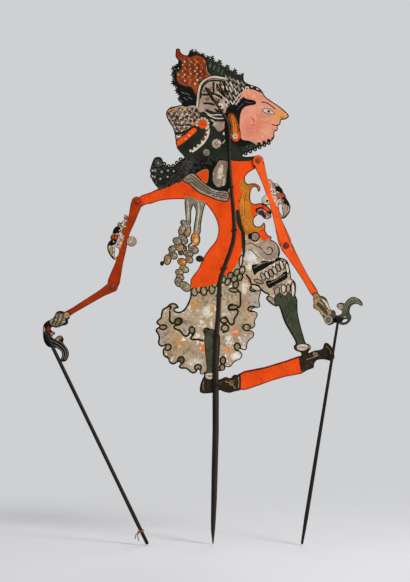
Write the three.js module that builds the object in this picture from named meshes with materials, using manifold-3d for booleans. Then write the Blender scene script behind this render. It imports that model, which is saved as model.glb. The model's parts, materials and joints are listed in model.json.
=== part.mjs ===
// A flat shadow puppet of painted rawhide, held in a split horn rod, with two jointed arms and two
// hand rods. Millimetres, +Z up. The painted front faces -Y and the point of the main rod is the origin.
import * as THREE from 'three';
import { mergeVertices } from 'three/addons/utils/BufferGeometryUtils.js';
import Module from 'manifold-3d';

const wasm = await Module();
wasm.setup();

// Sheet and fits
const HIDE_THICKNESS = 1.4;
const GAP = 0.3;
const CURVE_STEPS = 3;
const ROUND_SIDES = 20;
const OVAL_SIDES = 16;
const RUFFLE_STRIP = 2;

// Main rod
const ROD_POINT_RADIUS = 1;
const ROD_HANDLE_HALF_WIDTH = 4.9;
const ROD_HALF_DEPTH = 5;
const TINE_DEPTH = 1.7;
const TINE_TIP_DEPTH = 0.9;
const SPLIT_HEIGHT = 222;
const TIE_HEIGHT = 4;
const TIE_THREAD = 0.7;
const TIE_LEVELS = [650, 592, 535, 470, 413, 372, 312, 238];

// Pins and washers
const PIN_RADIUS = 1.6;
const PIN_HEAD_RADIUS = 3.2;
const PIN_HEAD_HEIGHT = 1;
const PIN_CLENCH_RADIUS = 2.8;
const PIN_CLENCH_HEIGHT = 0.8;
const WASHER_RADIUS = 4.6;
const WASHER_THICKNESS = 0.8;
const SPACER_THICKNESS = 1.1;
const SHOULDER_EYE_RADIUS = 8.5;
const ARM_TOP_EYE_RADIUS = 7.5;
const ELBOW_EYE_RADIUS = 8.5;
const FOREARM_EYE_RADIUS = 7.7;

// Hand rods and their threads
const THREAD_RADIUS = 0.7;
const PALM_HOLE_RADIUS = 1.3;
const KNOT_RADIUS = 1.8;
const KNOT_CLEARANCE = 0.6;
const ROD_EYE_RADIUS = 3.7;
const ROD_EYE_HALF_THICKNESS = 2;
const ROD_EYE_HOLE_RADIUS = 1.5;
const HAND_ROD_STANDOFF = 4.7;
const ROD_TIP_ROUND = 2;
const ROD_FOOT_TAPER = 40;
const ROD_TOP_TAPER = 60;

// The brown thread round the rear rod's foot
const TAG_RISE = 22;
const TAG_BAND = 2.2;
const TAG_WALL = 1.1;
const TAG_SWELL = 0.2;
const TAG_KNOT_RADIUS = 1.9;
const TAG_END_RADIUS = 0.7;
const TAG_END_REACHES = [[-9, -7], [-5, -12]];

// Each arm: places and leans at rest, with leans measured from straight down towards +X.
// The cuff, where the forearm ends, is measured from the palm, and the round boss from the band's middle.
const REAR = {
  name: 'rear',
  shoulder: [-114, 512],
  upperLength: 132,
  upperLean: -16.2,
  palmDistance: 121,
  palmLean: -54.8,
  cuff: [29.6, 27.7],
  bandDistance: 58,
  boss: [8, -3.3],
  bossRadius: 7.8,
  rodLean: 25.7,
  rodRadii: [2.6, 2.8, 2.8, 3, 2.6],
};
const FRONT = {
  name: 'front',
  shoulder: [67.5, 574],
  upperLength: 134,
  upperLean: 18.2,
  palmDistance: 134.5,
  palmLean: 35.5,
  cuff: [-37.4, 41.8],
  bandDistance: 60,
  boss: [-6, -2.3],
  bossRadius: 7.5,
  rodLean: -9.2,
  rodRadii: [1.9, 2.2, 2.9, 3, 1.9],
};

// Layers from the hide's front face outwards
const HIDE_FRONT = -HIDE_THICKNESS / 2;
const UPPER_ARM_BACK = HIDE_FRONT - GAP - SPACER_THICKNESS - GAP;
const UPPER_ARM_FRONT = UPPER_ARM_BACK - HIDE_THICKNESS;
const FOREARM_BACK = UPPER_ARM_FRONT - GAP;
const FOREARM_FRONT = FOREARM_BACK - HIDE_THICKNESS;
const HAND_ROD_Y = FOREARM_FRONT - HAND_ROD_STANDOFF;

// Finishes
const hidePaint = new THREE.MeshStandardMaterial({ color: 0xd8430f, roughness: 0.6 });
const armPaint = new THREE.MeshStandardMaterial({ color: 0xb82e06, roughness: 0.6 });
const horn = new THREE.MeshStandardMaterial({ color: 0x2a2019, roughness: 0.35 });
const rodBlack = new THREE.MeshStandardMaterial({ color: 0x0d0d0b, roughness: 0.45 });
const bone = new THREE.MeshStandardMaterial({ color: 0x6e2a14, roughness: 0.5 });
const leather = new THREE.MeshStandardMaterial({ color: 0x5a4632, roughness: 0.8 });
const thread = new THREE.MeshStandardMaterial({ color: 0x3b2f26, roughness: 0.9 });

// Turns a closed geometry into a solid with its faces pointing out.
function solid(geometry) {
  const bare = geometry.index ? geometry.toNonIndexed() : geometry.clone();
  bare.deleteAttribute('normal');
  bare.deleteAttribute('uv');
  const merged = mergeVertices(bare, 1e-4);
  const positions = new Float32Array(merged.attributes.position.array);
  const corners = merged.index.array;
  const triangles = [];
  for (let i = 0; i < corners.length; i += 3) {
    const [a, b, c] = [corners[i], corners[i + 1], corners[i + 2]];
    if (a !== b && b !== c && c !== a) triangles.push(a, b, c);
  }
  if (signedVolume(positions, triangles) < 0) triangles.reverse();
  return new wasm.Manifold(new wasm.Mesh({
    numProp: 3,
    vertProperties: positions,
    triVerts: new Uint32Array(triangles),
  }));
}

function signedVolume(positions, triangles) {
  const corner = (index) => new THREE.Vector3().fromArray(positions, 3 * index);
  let volume = 0;
  for (let i = 0; i < triangles.length; i += 3) {
    const [a, b, c] = [0, 1, 2].map((k) => corner(triangles[i + k]));
    volume += a.dot(b.cross(c)) / 6;
  }
  return volume;
}

function joined(solids) {
  return solids.reduce((all, next) => all.add(next));
}

function pieceOf(name, body, material) {
  const mesh = body.getMesh();
  const geometry = new THREE.BufferGeometry();
  geometry.setAttribute('position', new THREE.BufferAttribute(new Float32Array(mesh.vertProperties), 3));
  geometry.setIndex(new THREE.BufferAttribute(new Uint32Array(mesh.triVerts), 1));
  geometry.computeVertexNormals();
  const piece = new THREE.Mesh(geometry, material);
  piece.name = name;
  return piece;
}

// A smooth closed line through outline points [x, z].
function smooth(points, steps = CURVE_STEPS) {
  const places = points.map(([x, z]) => new THREE.Vector3(x, z, 0));
  const curve = new THREE.CatmullRomCurve3(places, true, 'centripetal');
  return curve.getPoints(points.length * steps).slice(0, -1).map((p) => [p.x, p.y]);
}

// A flat sheet between two depths.
function sheet(points, back, front) {
  const shape = new THREE.Shape(points.map(([x, z]) => new THREE.Vector2(x, z)));
  const geometry = new THREE.ExtrudeGeometry(shape, { depth: back - front, bevelEnabled: false, steps: 1 });
  geometry.rotateX(Math.PI / 2);
  geometry.translate(0, back, 0);
  return solid(geometry);
}

// An oval as [x, z, half length, half width, lean of the length from +X].
function oval([x, z, halfLength, halfWidth, lean]) {
  const angle = THREE.MathUtils.degToRad(lean);
  return Array.from({ length: OVAL_SIDES }, (_, k) => {
    const turn = (2 * Math.PI * k) / OVAL_SIDES;
    const [u, v] = [halfLength * Math.cos(turn), halfWidth * Math.sin(turn)];
    return [x + u * Math.cos(angle) - v * Math.sin(angle), z + u * Math.sin(angle) + v * Math.cos(angle)];
  });
}

// The overlapping folds of a ruffle, with a narrow strip from the middle of each to the next.
function ruffle(folds, back, front) {
  const strips = folds.slice(1).map(([x, z], index) => {
    const [fromX, fromZ] = folds[index];
    const reach = RUFFLE_STRIP / Math.hypot(x - fromX, z - fromZ);
    const [sideX, sideZ] = [(fromZ - z) * reach, (x - fromX) * reach];
    return sheet([
      [fromX + sideX, fromZ + sideZ], [fromX - sideX, fromZ - sideZ],
      [x - sideX, z - sideZ], [x + sideX, z + sideZ],
    ], back, front);
  });
  return joined([...folds.map((fold) => sheet(oval(fold), back, front)), ...strips]);
}

// A round piece about a line along Y, from its profile of [radius, y] points.
function turned(profile, [x, z], sides = ROUND_SIDES) {
  const geometry = new THREE.LatheGeometry(profile.map(([r, y]) => new THREE.Vector2(r, y)), sides);
  geometry.translate(x, 0, z);
  return solid(geometry);
}

function drum(radius, low, high, place, sides = ROUND_SIDES) {
  return turned([[0, low], [radius, low], [radius, high], [0, high]], place, sides);
}

function ring(outer, inner, low, high, place) {
  return turned([[inner, low], [outer, low], [outer, high], [inner, high], [inner, low]], place);
}

// Rings of points joined into a closed skin, for the rod whose section changes along its length.
function loft(rings) {
  const count = rings[0].length;
  const positions = [];
  const triangles = [];
  rings.forEach((points) => points.forEach((p) => positions.push(...p)));
  for (let i = 0; i < rings.length - 1; i += 1) {
    for (let k = 0; k < count; k += 1) {
      const a = i * count + k;
      const b = i * count + ((k + 1) % count);
      triangles.push(a, b, b + count, a, b + count, a + count);
    }
  }
  const last = (rings.length - 1) * count;
  for (let k = 1; k < count - 1; k += 1) {
    triangles.push(0, k + 1, k, last, last + k, last + k + 1);
  }
  const geometry = new THREE.BufferGeometry();
  geometry.setAttribute('position', new THREE.Float32BufferAttribute(positions, 3));
  geometry.setIndex(triangles);
  return solid(geometry);
}

function lookUp(table, z) {
  const upper = table.findIndex(([level]) => level <= z);
  if (upper <= 0) return upper === 0 ? table[0][1] : table[table.length - 1][1];
  const [[z1, v1], [z0, v0]] = [table[upper - 1], table[upper]];
  return v0 + ((v1 - v0) * (z - z0)) / (z1 - z0);
}

function along([x, z], distance, lean) {
  const angle = THREE.MathUtils.degToRad(lean);
  return [x + distance * Math.sin(angle), z - distance * Math.cos(angle)];
}

// Outlines of the one hide sheet, as [x, z]
const outlines = {
  crownAndHead: [
    [-55.3, 741.5], [-52.5, 742.6], [-49.7, 741.2], [-48.6, 737], [-44, 733], [-38, 732.5],
    [-34.5, 739.5], [-33.3, 737.3], [-31.5, 741], [-28.6, 735.8], [-25.5, 739.5], [-22.5, 735.5],
    [-18, 733.6], [-15, 734.3], [-10.5, 728.4], [-6.8, 731.2], [-4.2, 726.4], [-0.8, 731.2], [2, 722.5],
    [7, 721.8], [10.5, 725.2], [13.6, 715.6], [19, 714.6], [22.5, 717.8], [25, 709], [30.4, 708.6],
    [33.8, 711.8], [36.3, 702.8], [42.4, 703.4], [45.8, 706.5], [46.5, 694], [55.5, 688.5], [66, 685],
    [73.5, 679], [78, 671], [90, 662], [103, 653], [114, 641], [108, 636], [102, 635], [101, 629],
    [97, 626], [97, 620], [92, 617], [92, 609], [86, 602], [76, 597], [66, 593], [56, 588], [44, 582],
    [51, 578], [48, 560], [0, 548], [-40, 560], [-42, 578], [-54, 593], [-57, 611], [-60, 623],
    [-67.5, 635], [-70.5, 646], [-64.5, 654], [-55.5, 656], [-46.5, 659], [-52.5, 665], [-50, 671],
    [-56, 679], [-54, 684], [-61.5, 690], [-59, 698], [-62, 704], [-59, 708], [-62, 713], [-54, 718],
    [-52, 724], [-56, 730], [-56, 737],
  ],
  hair: [
    [-91, 572], [-87, 579], [-78, 579], [-73, 570], [-64, 565], [-55, 569], [-49, 574], [-40, 580],
    [0, 570], [40, 582], [51, 560], [20, 530], [-40, 528], [-60, 530], [-78, 530], [-87, 538], [-92, 547],
    [-94, 560],
  ],
  chest: [
    [REAR.shoulder[0] + 4, REAR.shoulder[1] + 8], [-102, 524], [-94.5, 526.5], [-82.5, 532], [-72, 536],
    [-52, 543], [0, 560], [40, 580], [51, 580], [64.5, 581], [75, 578], [73.5, 568], [64.5, 563],
    [52.5, 555.5], [48, 549.5], [48.5, 543], [52, 539.5], [56, 540], [61.5, 540.5], [67, 538.5],
    [71, 533.5], [70, 528.5], [67.5, 528], [66.5, 531.5], [64.5, 534.5], [60.5, 534.5], [57.5, 531],
    [56, 524], [56.2, 515], [58, 511], [63, 509.2], [70.5, 510.7], [76.5, 509.5], [81.5, 506.5],
    [86, 501.5], [88, 495.5], [85.5, 492], [81, 495.5], [76.5, 500], [70.5, 501.5], [67.5, 498.5],
    [66.7, 492.5], [63, 489.5], [61, 486], [61.5, 479.5], [64.5, 476], [70.5, 475.8], [73.5, 478.5],
    [76.5, 481.5], [78.7, 476.5], [78, 470.5], [80.5, 465.5], [83, 462.2], [87, 460.8], [87.7, 457.5],
    [84, 454.5], [78, 456], [73.5, 460], [60, 440], [53, 430], [53, 390], [-31, 388], [-34, 394],
    [-30, 401.5], [-22, 412], [-18, 421], [-12, 433], [-4, 444], [4.5, 455], [8, 468], [7, 479], [3, 490],
    [-3, 500], [-12, 510], [-20, 512], [-37, 516], [-64, 516], [-80, 514], [-92, 510], [-102, 508],
    [REAR.shoulder[0] + 4, REAR.shoulder[1] - 8],
  ],
  sashLeaf: [
    [68, 499], [73.5, 501], [78, 497.2], [82.5, 494.2], [87, 492.7], [87.7, 489.7], [82.5, 486.7],
    [76.5, 487.5], [72, 492], [68, 493.5],
  ],
  outerStrap: [
    [-41, 520], [-27.5, 520], [-29.5, 508], [-32.3, 500], [-32.8, 490], [-34, 478], [-40, 478],
    [-41, 490],
  ],
  innerStrap: [
    [-29, 518], [-12, 514], [-14.5, 498], [-16, 490], [-18, 478], [-19.5, 464], [-28.5, 464],
    [-28.5, 478], [-26.5, 490], [-26, 500], [-30, 510],
  ],
  hipCloth: [
    [50, 470], [60, 469], [70, 462], [81, 457.5], [87.5, 455.5], [94.5, 451], [99.5, 443.5],
    [100.5, 434.5], [99, 429.5], [103, 428.5], [108, 426.7], [112.5, 422.2], [114.7, 414.7],
    [116.2, 407.2], [117, 401.2], [117.5, 397.5], [121, 395], [124, 390.5], [124.5, 380], [123, 369.5],
    [121, 360], [99, 357], [95.2, 355.2], [88, 358.5], [83, 362.5], [79.7, 366.5], [80, 370], [83, 372.5],
    [77, 375.5], [70, 381], [57, 388], [48, 400], [48, 440],
  ],
  skirt: [
    [-33, 392], [-34, 382], [-34.5, 370], [-37.5, 362], [-42, 353.5], [-48, 348.5], [-54, 348],
    [-57.5, 350.5], [-55, 352.5], [-51.5, 352.5], [-52, 356], [-55.5, 360], [-60, 361], [-64.5, 360],
    [-69, 356], [-76, 351.5], [-78, 345.5], [-79, 339.5], [-84.5, 334], [-85, 330], [-80.5, 326.5],
    [-85.5, 322], [-86.2, 318], [-83.2, 314], [-81.7, 308], [-82.8, 302], [-81, 297], [-76.5, 294.7],
    [-71.5, 296], [-75, 291.5], [-75.7, 285.7], [-73.5, 280.5], [-67.5, 276.7], [-66, 272],
    [-61.5, 268.5], [-57, 269], [-52, 272], [-49, 270.5], [-51.7, 265], [-48, 262], [-40.5, 261.7],
    [-34.5, 257], [-30, 254.7], [-25, 256.5], [-22, 261], [-20, 258.5], [-19.5, 254.5], [-15, 253.5],
    [0, 258], [10.5, 258.5], [17, 260], [19.5, 265], [23.2, 264.2], [27.7, 266.2], [30.7, 270.7],
    [36, 274.2], [42, 277.5], [44, 284], [41, 288.5], [38, 291], [42.7, 291.2], [47.2, 289.7],
    [51, 292.7], [51.5, 299.2], [54.7, 304.5], [60, 309], [62, 315], [58.7, 319.3], [54.5, 321],
    [59.5, 322.5], [63.5, 327], [63, 334.5], [66.5, 340.5], [66.7, 345.7], [62.2, 348.7], [57.5, 350.5],
    [62.2, 353], [66.7, 353.2], [71, 355.7], [69.5, 363.7], [70.5, 371.2], [72, 380], [57, 392],
    [10, 398],
  ],
  rearLeg: [[-10, 312], [6, 312], [7, 280], [5, 254], [4, 244], [-14, 244], [-13, 254], [-9, 260]],
  rearFoot: [
    [-13, 251], [-17, 244], [-19.5, 236], [-19, 226.5], [-1, 226], [9, 230], [18, 227], [25, 226],
    [32, 228], [42, 231], [42, 252], [36, 253], [31, 253], [26, 248], [19, 250], [9, 246], [0, 250],
  ],
  baseStrip: [[36, 253], [78, 265], [108, 274], [136, 281], [140, 259], [108, 250], [88, 244], [36, 230]],
  frontLeg: [
    [94, 372], [101, 350], [107, 332], [116, 316], [124, 300], [121, 296], [123, 290], [132, 286],
    [134, 276], [146, 280], [143, 287], [147, 293], [144, 299], [140, 300], [135, 314], [131, 328],
    [127, 347], [124, 372],
  ],
  frontFoot: [
    [130, 281], [142, 285], [151, 289], [164, 292], [167, 300], [171, 301], [177, 296], [181, 288],
    [182, 278], [177, 274], [168, 276], [156, 275], [152, 270], [151, 264], [147, 262], [134, 259],
  ],
};

// Hanging ruffles as chains of overlapping folds, and one leaf on the red edge.
// Each is [x, z, half length, half width, lean of the length from +X].
const ruffles = [
  [
    [-45, 481.5, 4.3, 4.3, 0], [-38.5, 470.5, 11, 6, 90], [-46.5, 470.5, 8.8, 5.4, 65],
    [-44.7, 456.5, 9.2, 6.2, -50], [-53.6, 453.6, 7.6, 5.8, -20], [-51, 445.6, 8.8, 6.8, -50],
    [-61.2, 441.8, 6.4, 5.6, 20], [-59.8, 432.4, 7.8, 6, -40], [-68.2, 425.8, 8.4, 6, 85],
    [-76.6, 420, 3.6, 3, 90],
  ],
  [
    [-26.4, 456.5, 11, 7.6, 90], [-33, 447.2, 5.6, 3.6, 25], [-29.2, 440.6, 8.6, 6.4, -25],
    [-37, 434.4, 8.4, 5.4, -15], [-35.4, 425.8, 6.6, 5.6, -40], [-46.4, 422.6, 7.6, 5.8, -15],
    [-43.2, 411.8, 8.2, 5.6, -30], [-50.4, 406.6, 6.8, 5.6, -15], [-49.4, 399, 6.8, 5.4, -15],
    [-51.6, 391.8, 8, 6.2, -60], [-41.6, 385.4, 10, 6.8, -40],
  ],
  [[-43.5, 461, 6, 5, 60], [-45.7, 440, 9, 5.8, 55], [-37, 434.4, 5, 4, 0]],
  [[-20, 427.2, 6, 5, 0]],
];

// The main rod's centre line and half width, as [z, value] from the top down
const rodCentre = [
  [680, -9], [668, 0], [647, 13.5], [635, 21], [623, 24], [605, 25], [568, 25], [538, 27],
  [508, 30], [478, 32], [463, 32], [451, 30], [437, 25.5], [413, 16.5], [401, 12], [388, 10],
  [365, 9], [335, 7.5], [313, 5], [290, 4.5], [260, 4], [170, 4], [110, 2.5], [65, 1.5],
  [20, 0], [0, 0],
];
const rodHalfWidth = [
  [680, 1.1], [668, 1.7], [635, 2], [568, 2.2], [508, 2.6], [451, 3], [388, 3.3], [313, 3.8], [260, 4.4],
  [235, 4.8], [SPLIT_HEIGHT - 4, ROD_HANDLE_HALF_WIDTH], [110, 4.7], [65, 4.35], [35, 3.75], [20, 3.1],
  [5, 1.5], [0, ROD_POINT_RADIUS],
];
const tineDepth = [
  [680, TINE_TIP_DEPTH], [635, TINE_DEPTH - 0.3], [568, TINE_DEPTH], [330, TINE_DEPTH], [290, 2.6],
  [SPLIT_HEIGHT, ROD_HALF_DEPTH - HIDE_THICKNESS / 2 - GAP],
];

// One half of the split rod: flat against the hide and rounded outside.
function tine(side) {
  const flat = HIDE_THICKNESS / 2 + GAP;
  const foot = SPLIT_HEIGHT - 6;
  const levels = rodCentre.map(([z]) => z).filter((z) => z > SPLIT_HEIGHT);
  const arcSteps = 8;
  return loft([...levels, foot].map((z) => {
    const x = lookUp(rodCentre, z);
    const half = lookUp(rodHalfWidth, z);
    const depth = lookUp(tineDepth, Math.max(z, SPLIT_HEIGHT));
    return Array.from({ length: arcSteps + 1 }, (_, k) => {
      const angle = (Math.PI * k) / arcSteps;
      return [x - half * Math.cos(angle), side * (flat + depth * Math.sin(angle) ** 0.7), z];
    });
  }));
}

function rodHandle() {
  const levels = [SPLIT_HEIGHT, SPLIT_HEIGHT - 4, 170, 110, 65, 35, 20, 5, 0];
  return loft(levels.map((z) => {
    const x = lookUp(rodCentre, z);
    const half = lookUp(rodHalfWidth, z);
    const deep = (half * ROD_HALF_DEPTH) / ROD_HANDLE_HALF_WIDTH;
    return Array.from({ length: ROUND_SIDES }, (_, k) => {
      const angle = (2 * Math.PI * k) / ROUND_SIDES;
      return [x + half * Math.cos(angle), deep * Math.sin(angle), z];
    });
  }));
}

// How far the rod's centre line drifts sideways within one binding.
function sideDrift(level) {
  return Math.abs(lookUp(rodCentre, level + TIE_HEIGHT / 2) - lookUp(rodCentre, level - TIE_HEIGHT / 2)) / 2;
}

// The place of a binding and the half sizes of the space inside it.
function tieSpace(level) {
  const lower = level - TIE_HEIGHT;
  return {
    x: lookUp(rodCentre, level),
    halfWidth: lookUp(rodHalfWidth, lower) + GAP + sideDrift(level),
    halfDepth: HIDE_THICKNESS / 2 + GAP + lookUp(tineDepth, lower) + GAP,
  };
}

// A thread binding round both halves of the rod, through two slots in the hide.
function rodTie(level) {
  const { x, halfWidth, halfDepth } = tieSpace(level);
  const block = (wall, height) => {
    const box = new THREE.BoxGeometry(2 * (halfWidth + wall), 2 * (halfDepth + wall), height);
    return solid(box.translate(x, 0, level));
  };
  return block(TIE_THREAD, TIE_HEIGHT).subtract(block(0, 2 * TIE_HEIGHT));
}

function tieSlots(level) {
  const { halfWidth, x } = tieSpace(level);
  return [-1, 1].map((side) => {
    const slot = new THREE.BoxGeometry(TIE_THREAD + 2 * GAP, 2 * HIDE_THICKNESS, TIE_HEIGHT + 2 * GAP);
    slot.translate(x + side * (halfWidth + TIE_THREAD / 2), 0, level);
    return solid(slot);
  });
}

function figureHide() {
  const back = HIDE_THICKNESS / 2;
  const panels = Object.values(outlines).map((points) => sheet(smooth(points), back, HIDE_FRONT));
  const folds = ruffles.map((chain) => ruffle(chain, back, HIDE_FRONT));
  const eyes = [REAR, FRONT].map((arm) => drum(SHOULDER_EYE_RADIUS, HIDE_FRONT, back, arm.shoulder));
  const pinHoles = [REAR, FRONT].map((arm) => (
    drum(PIN_RADIUS + GAP, -HIDE_THICKNESS, HIDE_THICKNESS, arm.shoulder)
  ));
  const cuts = [...pinHoles, ...TIE_LEVELS.flatMap(tieSlots)];
  return cuts.reduce((hide, cut) => hide.subtract(cut), joined([...panels, ...folds, ...eyes]));
}

// A limb drawn as half widths along the line between two eyes.
function limbSheet(from, to, stations, back, front) {
  const length = Math.hypot(to[0] - from[0], to[1] - from[1]);
  const [ux, uz] = [(to[0] - from[0]) / length, (to[1] - from[1]) / length];
  const edge = (side) => stations.map(([share, half]) => {
    const [s, across] = [share * length, side * half];
    return [from[0] + ux * s - uz * across, from[1] + uz * s + ux * across];
  });
  const [left, right] = [edge(1), edge(-1)];
  return sheet(smooth([...left, ...right.reverse()]), back, front);
}

// Half widths of the limbs from eye to eye, as [share of the length, half width]
const upperArmWidths = {
  rear: [[-0.02, 7], [0.15, 6.6], [0.27, 4.7], [0.36, 3], [0.45, 3.3], [0.57, 4.7], [0.71, 5.6], [1.02, 7.4]],
  front: [
    [-0.02, 6.6], [0.16, 5.8], [0.28, 4.4], [0.4, 4.2], [0.51, 4.2], [0.61, 4.8], [0.75, 6.6], [1.02, 8],
  ],
};
const forearmWidths = {
  rear: [[-0.04, 7], [0.22, 5.6], [0.52, 4.9], [0.83, 4.2], [1.05, 3.6]],
  front: [[-0.04, 8], [0.2, 7.6], [0.5, 6], [0.75, 5.2], [1.12, 4]],
};

// Armband ornaments, measured from the middle of the band, with the opening in each
const armbands = {
  rear: [
    [4, 10], [0, -8], [-4, -22], [-11.5, -29.5], [-16, -31.5], [-20, -29.5], [-24.6, -23.5],
    [-27.6, -17.5], [-28.3, -10], [-26.5, -4.8], [-23.3, -1], [-23.5, 2.5], [-22.5, 6], [-20.5, 9],
    [-19.3, 14], [-16, 18.5], [-12.8, 19.8], [-13.5, 23], [-10.8, 25.7], [-7, 24.5], [-5.5, 27],
    [-2.5, 29], [-3.5, 33], [-1.8, 37], [1.5, 35.5], [5, 30], [4, 20],
  ],
  front: [
    [-6.5, 20], [-6.3, 25], [-4.5, 29], [-1, 29.3], [2.5, 26], [5, 23.5], [8.5, 23.5], [11.7, 21],
    [13.5, 18.5], [17.3, 14.7], [19.5, 9], [22.5, 5.3], [23.5, 1], [27, -4.8], [29.7, -12], [28.5, -20],
    [24.8, -25.8], [20.3, -29.8], [15.8, -29.3], [10, -26], [4, -12], [0, 0], [-3, 10],
  ],
};
const armbandOpenings = {
  rear: [
    [-16.8, -11.5], [-11, -14.5], [-10.8, -19], [-12.5, -24.5], [-16, -27.5], [-17.5, -24], [-16.5, -18],
  ],
  front: [[12.5, -9], [16, -8], [17, -14], [18, -21], [19, -25.5], [15.5, -23], [12.8, -16]],
};

// Hands with bracelet and curled fingers, measured from the hole in the palm
const hands = {
  rear: [
    [33, 27], [28, 31.5], [20.3, 33.6], [15.5, 31.8], [12.8, 27.3], [10.5, 23.3], [6, 20.5], [0.5, 17.5],
    [-3.5, 13.5], [-5, 7], [-5, 0], [-4.5, -7], [-2.5, -14], [2.5, -20], [9, -21.8], [14.5, -22],
    [20, -25.2], [23.3, -29.7], [23.3, -34.5], [21, -41], [25, -42.8], [30, -41.2], [33, -35.7],
    [33.9, -29.7], [31.7, -23], [27.3, -17.2], [25.2, -13.5], [26, -9.5], [24.3, -5], [19.8, -3.2],
    [16, -5], [12, -8.3], [8.5, -4.2], [12.5, -2], [12.8, 1.2], [8.5, 3.5], [6.8, 7], [9, 9.5],
    [13.5, 8.3], [18.8, 9], [23.3, 11], [29.3, 12.3], [33, 16], [32.5, 20], [35.5, 23.5],
  ],
  front: [
    [-30.8, 38.5], [-37, 35], [-37, 24], [-37, 16.8], [-33, 13.5], [-28.5, 11], [-26.3, 6.5],
    [-22.8, 2.2], [-21.3, -2.5], [-18.3, -7.5], [-13.5, -9.8], [-8, -7.8], [-4.5, -6], [0, -6.8],
    [6, -9.5], [12.8, -8], [18.2, -3], [19.7, 3.3], [17.3, 8.5], [17.3, 13], [19, 18.3], [22.7, 21.2],
    [28.5, 22.2], [35, 19], [37, 21], [34, 27.3], [28.5, 31.3], [22.5, 32.8], [17.3, 31.2], [12.3, 26.8],
    [9.5, 22.8], [6.8, 24], [2.3, 23.8], [-1.8, 21.3], [-1.8, 16.8], [1.2, 14.2], [5, 12.3], [5.5, 9],
    [3, 6.2], [0, 5.2], [-3.5, 6], [-3.8, 9.8], [-6, 12.6], [-10.5, 13.5], [-12.8, 17.5], [-15.3, 25],
    [-18, 30.3], [-22.5, 33.6], [-26.5, 34.5],
  ],
};
const fingerLoops = {
  rear: [],
  front: [[10, -3, 4.2, 2, 25]],
};

const elbowOf = (arm) => along(arm.shoulder, arm.upperLength, arm.upperLean);
const palmOf = (arm) => along(elbowOf(arm), arm.palmDistance, arm.palmLean);
const shifted = (points, [x, z]) => points.map(([dx, dz, ...size]) => [x + dx, z + dz, ...size]);
const cuffOf = (arm) => shifted([arm.cuff], palmOf(arm))[0];

function upperArm(arm) {
  const elbow = elbowOf(arm);
  const band = along(arm.shoulder, arm.bandDistance, arm.upperLean);
  const [boss] = shifted([arm.boss], band);
  const body = joined([
    limbSheet(arm.shoulder, elbow, upperArmWidths[arm.name], UPPER_ARM_BACK, UPPER_ARM_FRONT),
    sheet(smooth(shifted(armbands[arm.name], band)), UPPER_ARM_BACK, UPPER_ARM_FRONT),
    drum(arm.bossRadius, UPPER_ARM_FRONT, UPPER_ARM_BACK, boss),
    drum(ARM_TOP_EYE_RADIUS, UPPER_ARM_FRONT, UPPER_ARM_BACK, arm.shoulder),
    drum(ELBOW_EYE_RADIUS, UPPER_ARM_FRONT, UPPER_ARM_BACK, elbow),
  ]);
  const [back, front] = [UPPER_ARM_BACK + GAP, UPPER_ARM_FRONT - GAP];
  const opening = sheet(smooth(shifted(armbandOpenings[arm.name], band)), back, front);
  const holes = [arm.shoulder, elbow].map((place) => drum(PIN_RADIUS + GAP, front, back, place));
  return [opening, ...holes].reduce((left, hole) => left.subtract(hole), body);
}

function forearm(arm) {
  const elbow = elbowOf(arm);
  const palm = palmOf(arm);
  const body = joined([
    limbSheet(elbow, cuffOf(arm), forearmWidths[arm.name], FOREARM_BACK, FOREARM_FRONT),
    sheet(smooth(shifted(hands[arm.name], palm)), FOREARM_BACK, FOREARM_FRONT),
    drum(FOREARM_EYE_RADIUS, FOREARM_FRONT, FOREARM_BACK, elbow),
  ]);
  const [back, front] = [FOREARM_BACK + GAP, FOREARM_FRONT - GAP];
  const loops = shifted(fingerLoops[arm.name], palm).map((loop) => sheet(oval(loop), back, front));
  const holes = [drum(PIN_RADIUS + GAP, front, back, elbow), drum(PALM_HOLE_RADIUS, front, back, palm)];
  return [...loops, ...holes].reduce((left, hole) => left.subtract(hole), body);
}

// A pin with a domed head in front and a clenched head behind.
function pin(place, front, back) {
  const headFoot = front - GAP;
  const clenchFoot = back + GAP;
  return turned([
    [0, headFoot - PIN_HEAD_HEIGHT], [PIN_HEAD_RADIUS * 0.7, headFoot - PIN_HEAD_HEIGHT * 0.8],
    [PIN_HEAD_RADIUS, headFoot], [PIN_RADIUS, headFoot], [PIN_RADIUS, clenchFoot],
    [PIN_CLENCH_RADIUS, clenchFoot], [PIN_CLENCH_RADIUS * 0.7, clenchFoot + PIN_CLENCH_HEIGHT],
    [0, clenchFoot + PIN_CLENCH_HEIGHT],
  ], place);
}

function rodThread(palm) {
  const knotHeight = 1.6;
  const backKnot = FOREARM_BACK + KNOT_CLEARANCE;
  const frontKnot = HAND_ROD_Y - ROD_EYE_HALF_THICKNESS - KNOT_CLEARANCE;
  return turned([
    [0, frontKnot - knotHeight], [KNOT_RADIUS * 0.8, frontKnot - knotHeight],
    [KNOT_RADIUS, frontKnot - knotHeight / 2], [KNOT_RADIUS * 0.8, frontKnot], [THREAD_RADIUS, frontKnot],
    [THREAD_RADIUS, backKnot], [KNOT_RADIUS * 0.8, backKnot], [KNOT_RADIUS, backKnot + knotHeight / 2],
    [KNOT_RADIUS * 0.8, backKnot + knotHeight], [0, backKnot + knotHeight],
  ], palm, 12);
}

const rodLengthOf = (arm) => palmOf(arm)[1] / Math.cos(THREE.MathUtils.degToRad(arm.rodLean));

// Puts a geometry made along Z, with its top at the palm, at the rod's lean.
function leaned(geometry, arm) {
  const [x, z] = palmOf(arm);
  geometry.rotateY(-THREE.MathUtils.degToRad(arm.rodLean));
  geometry.translate(x, HAND_ROD_Y, z);
  return solid(geometry);
}

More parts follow.
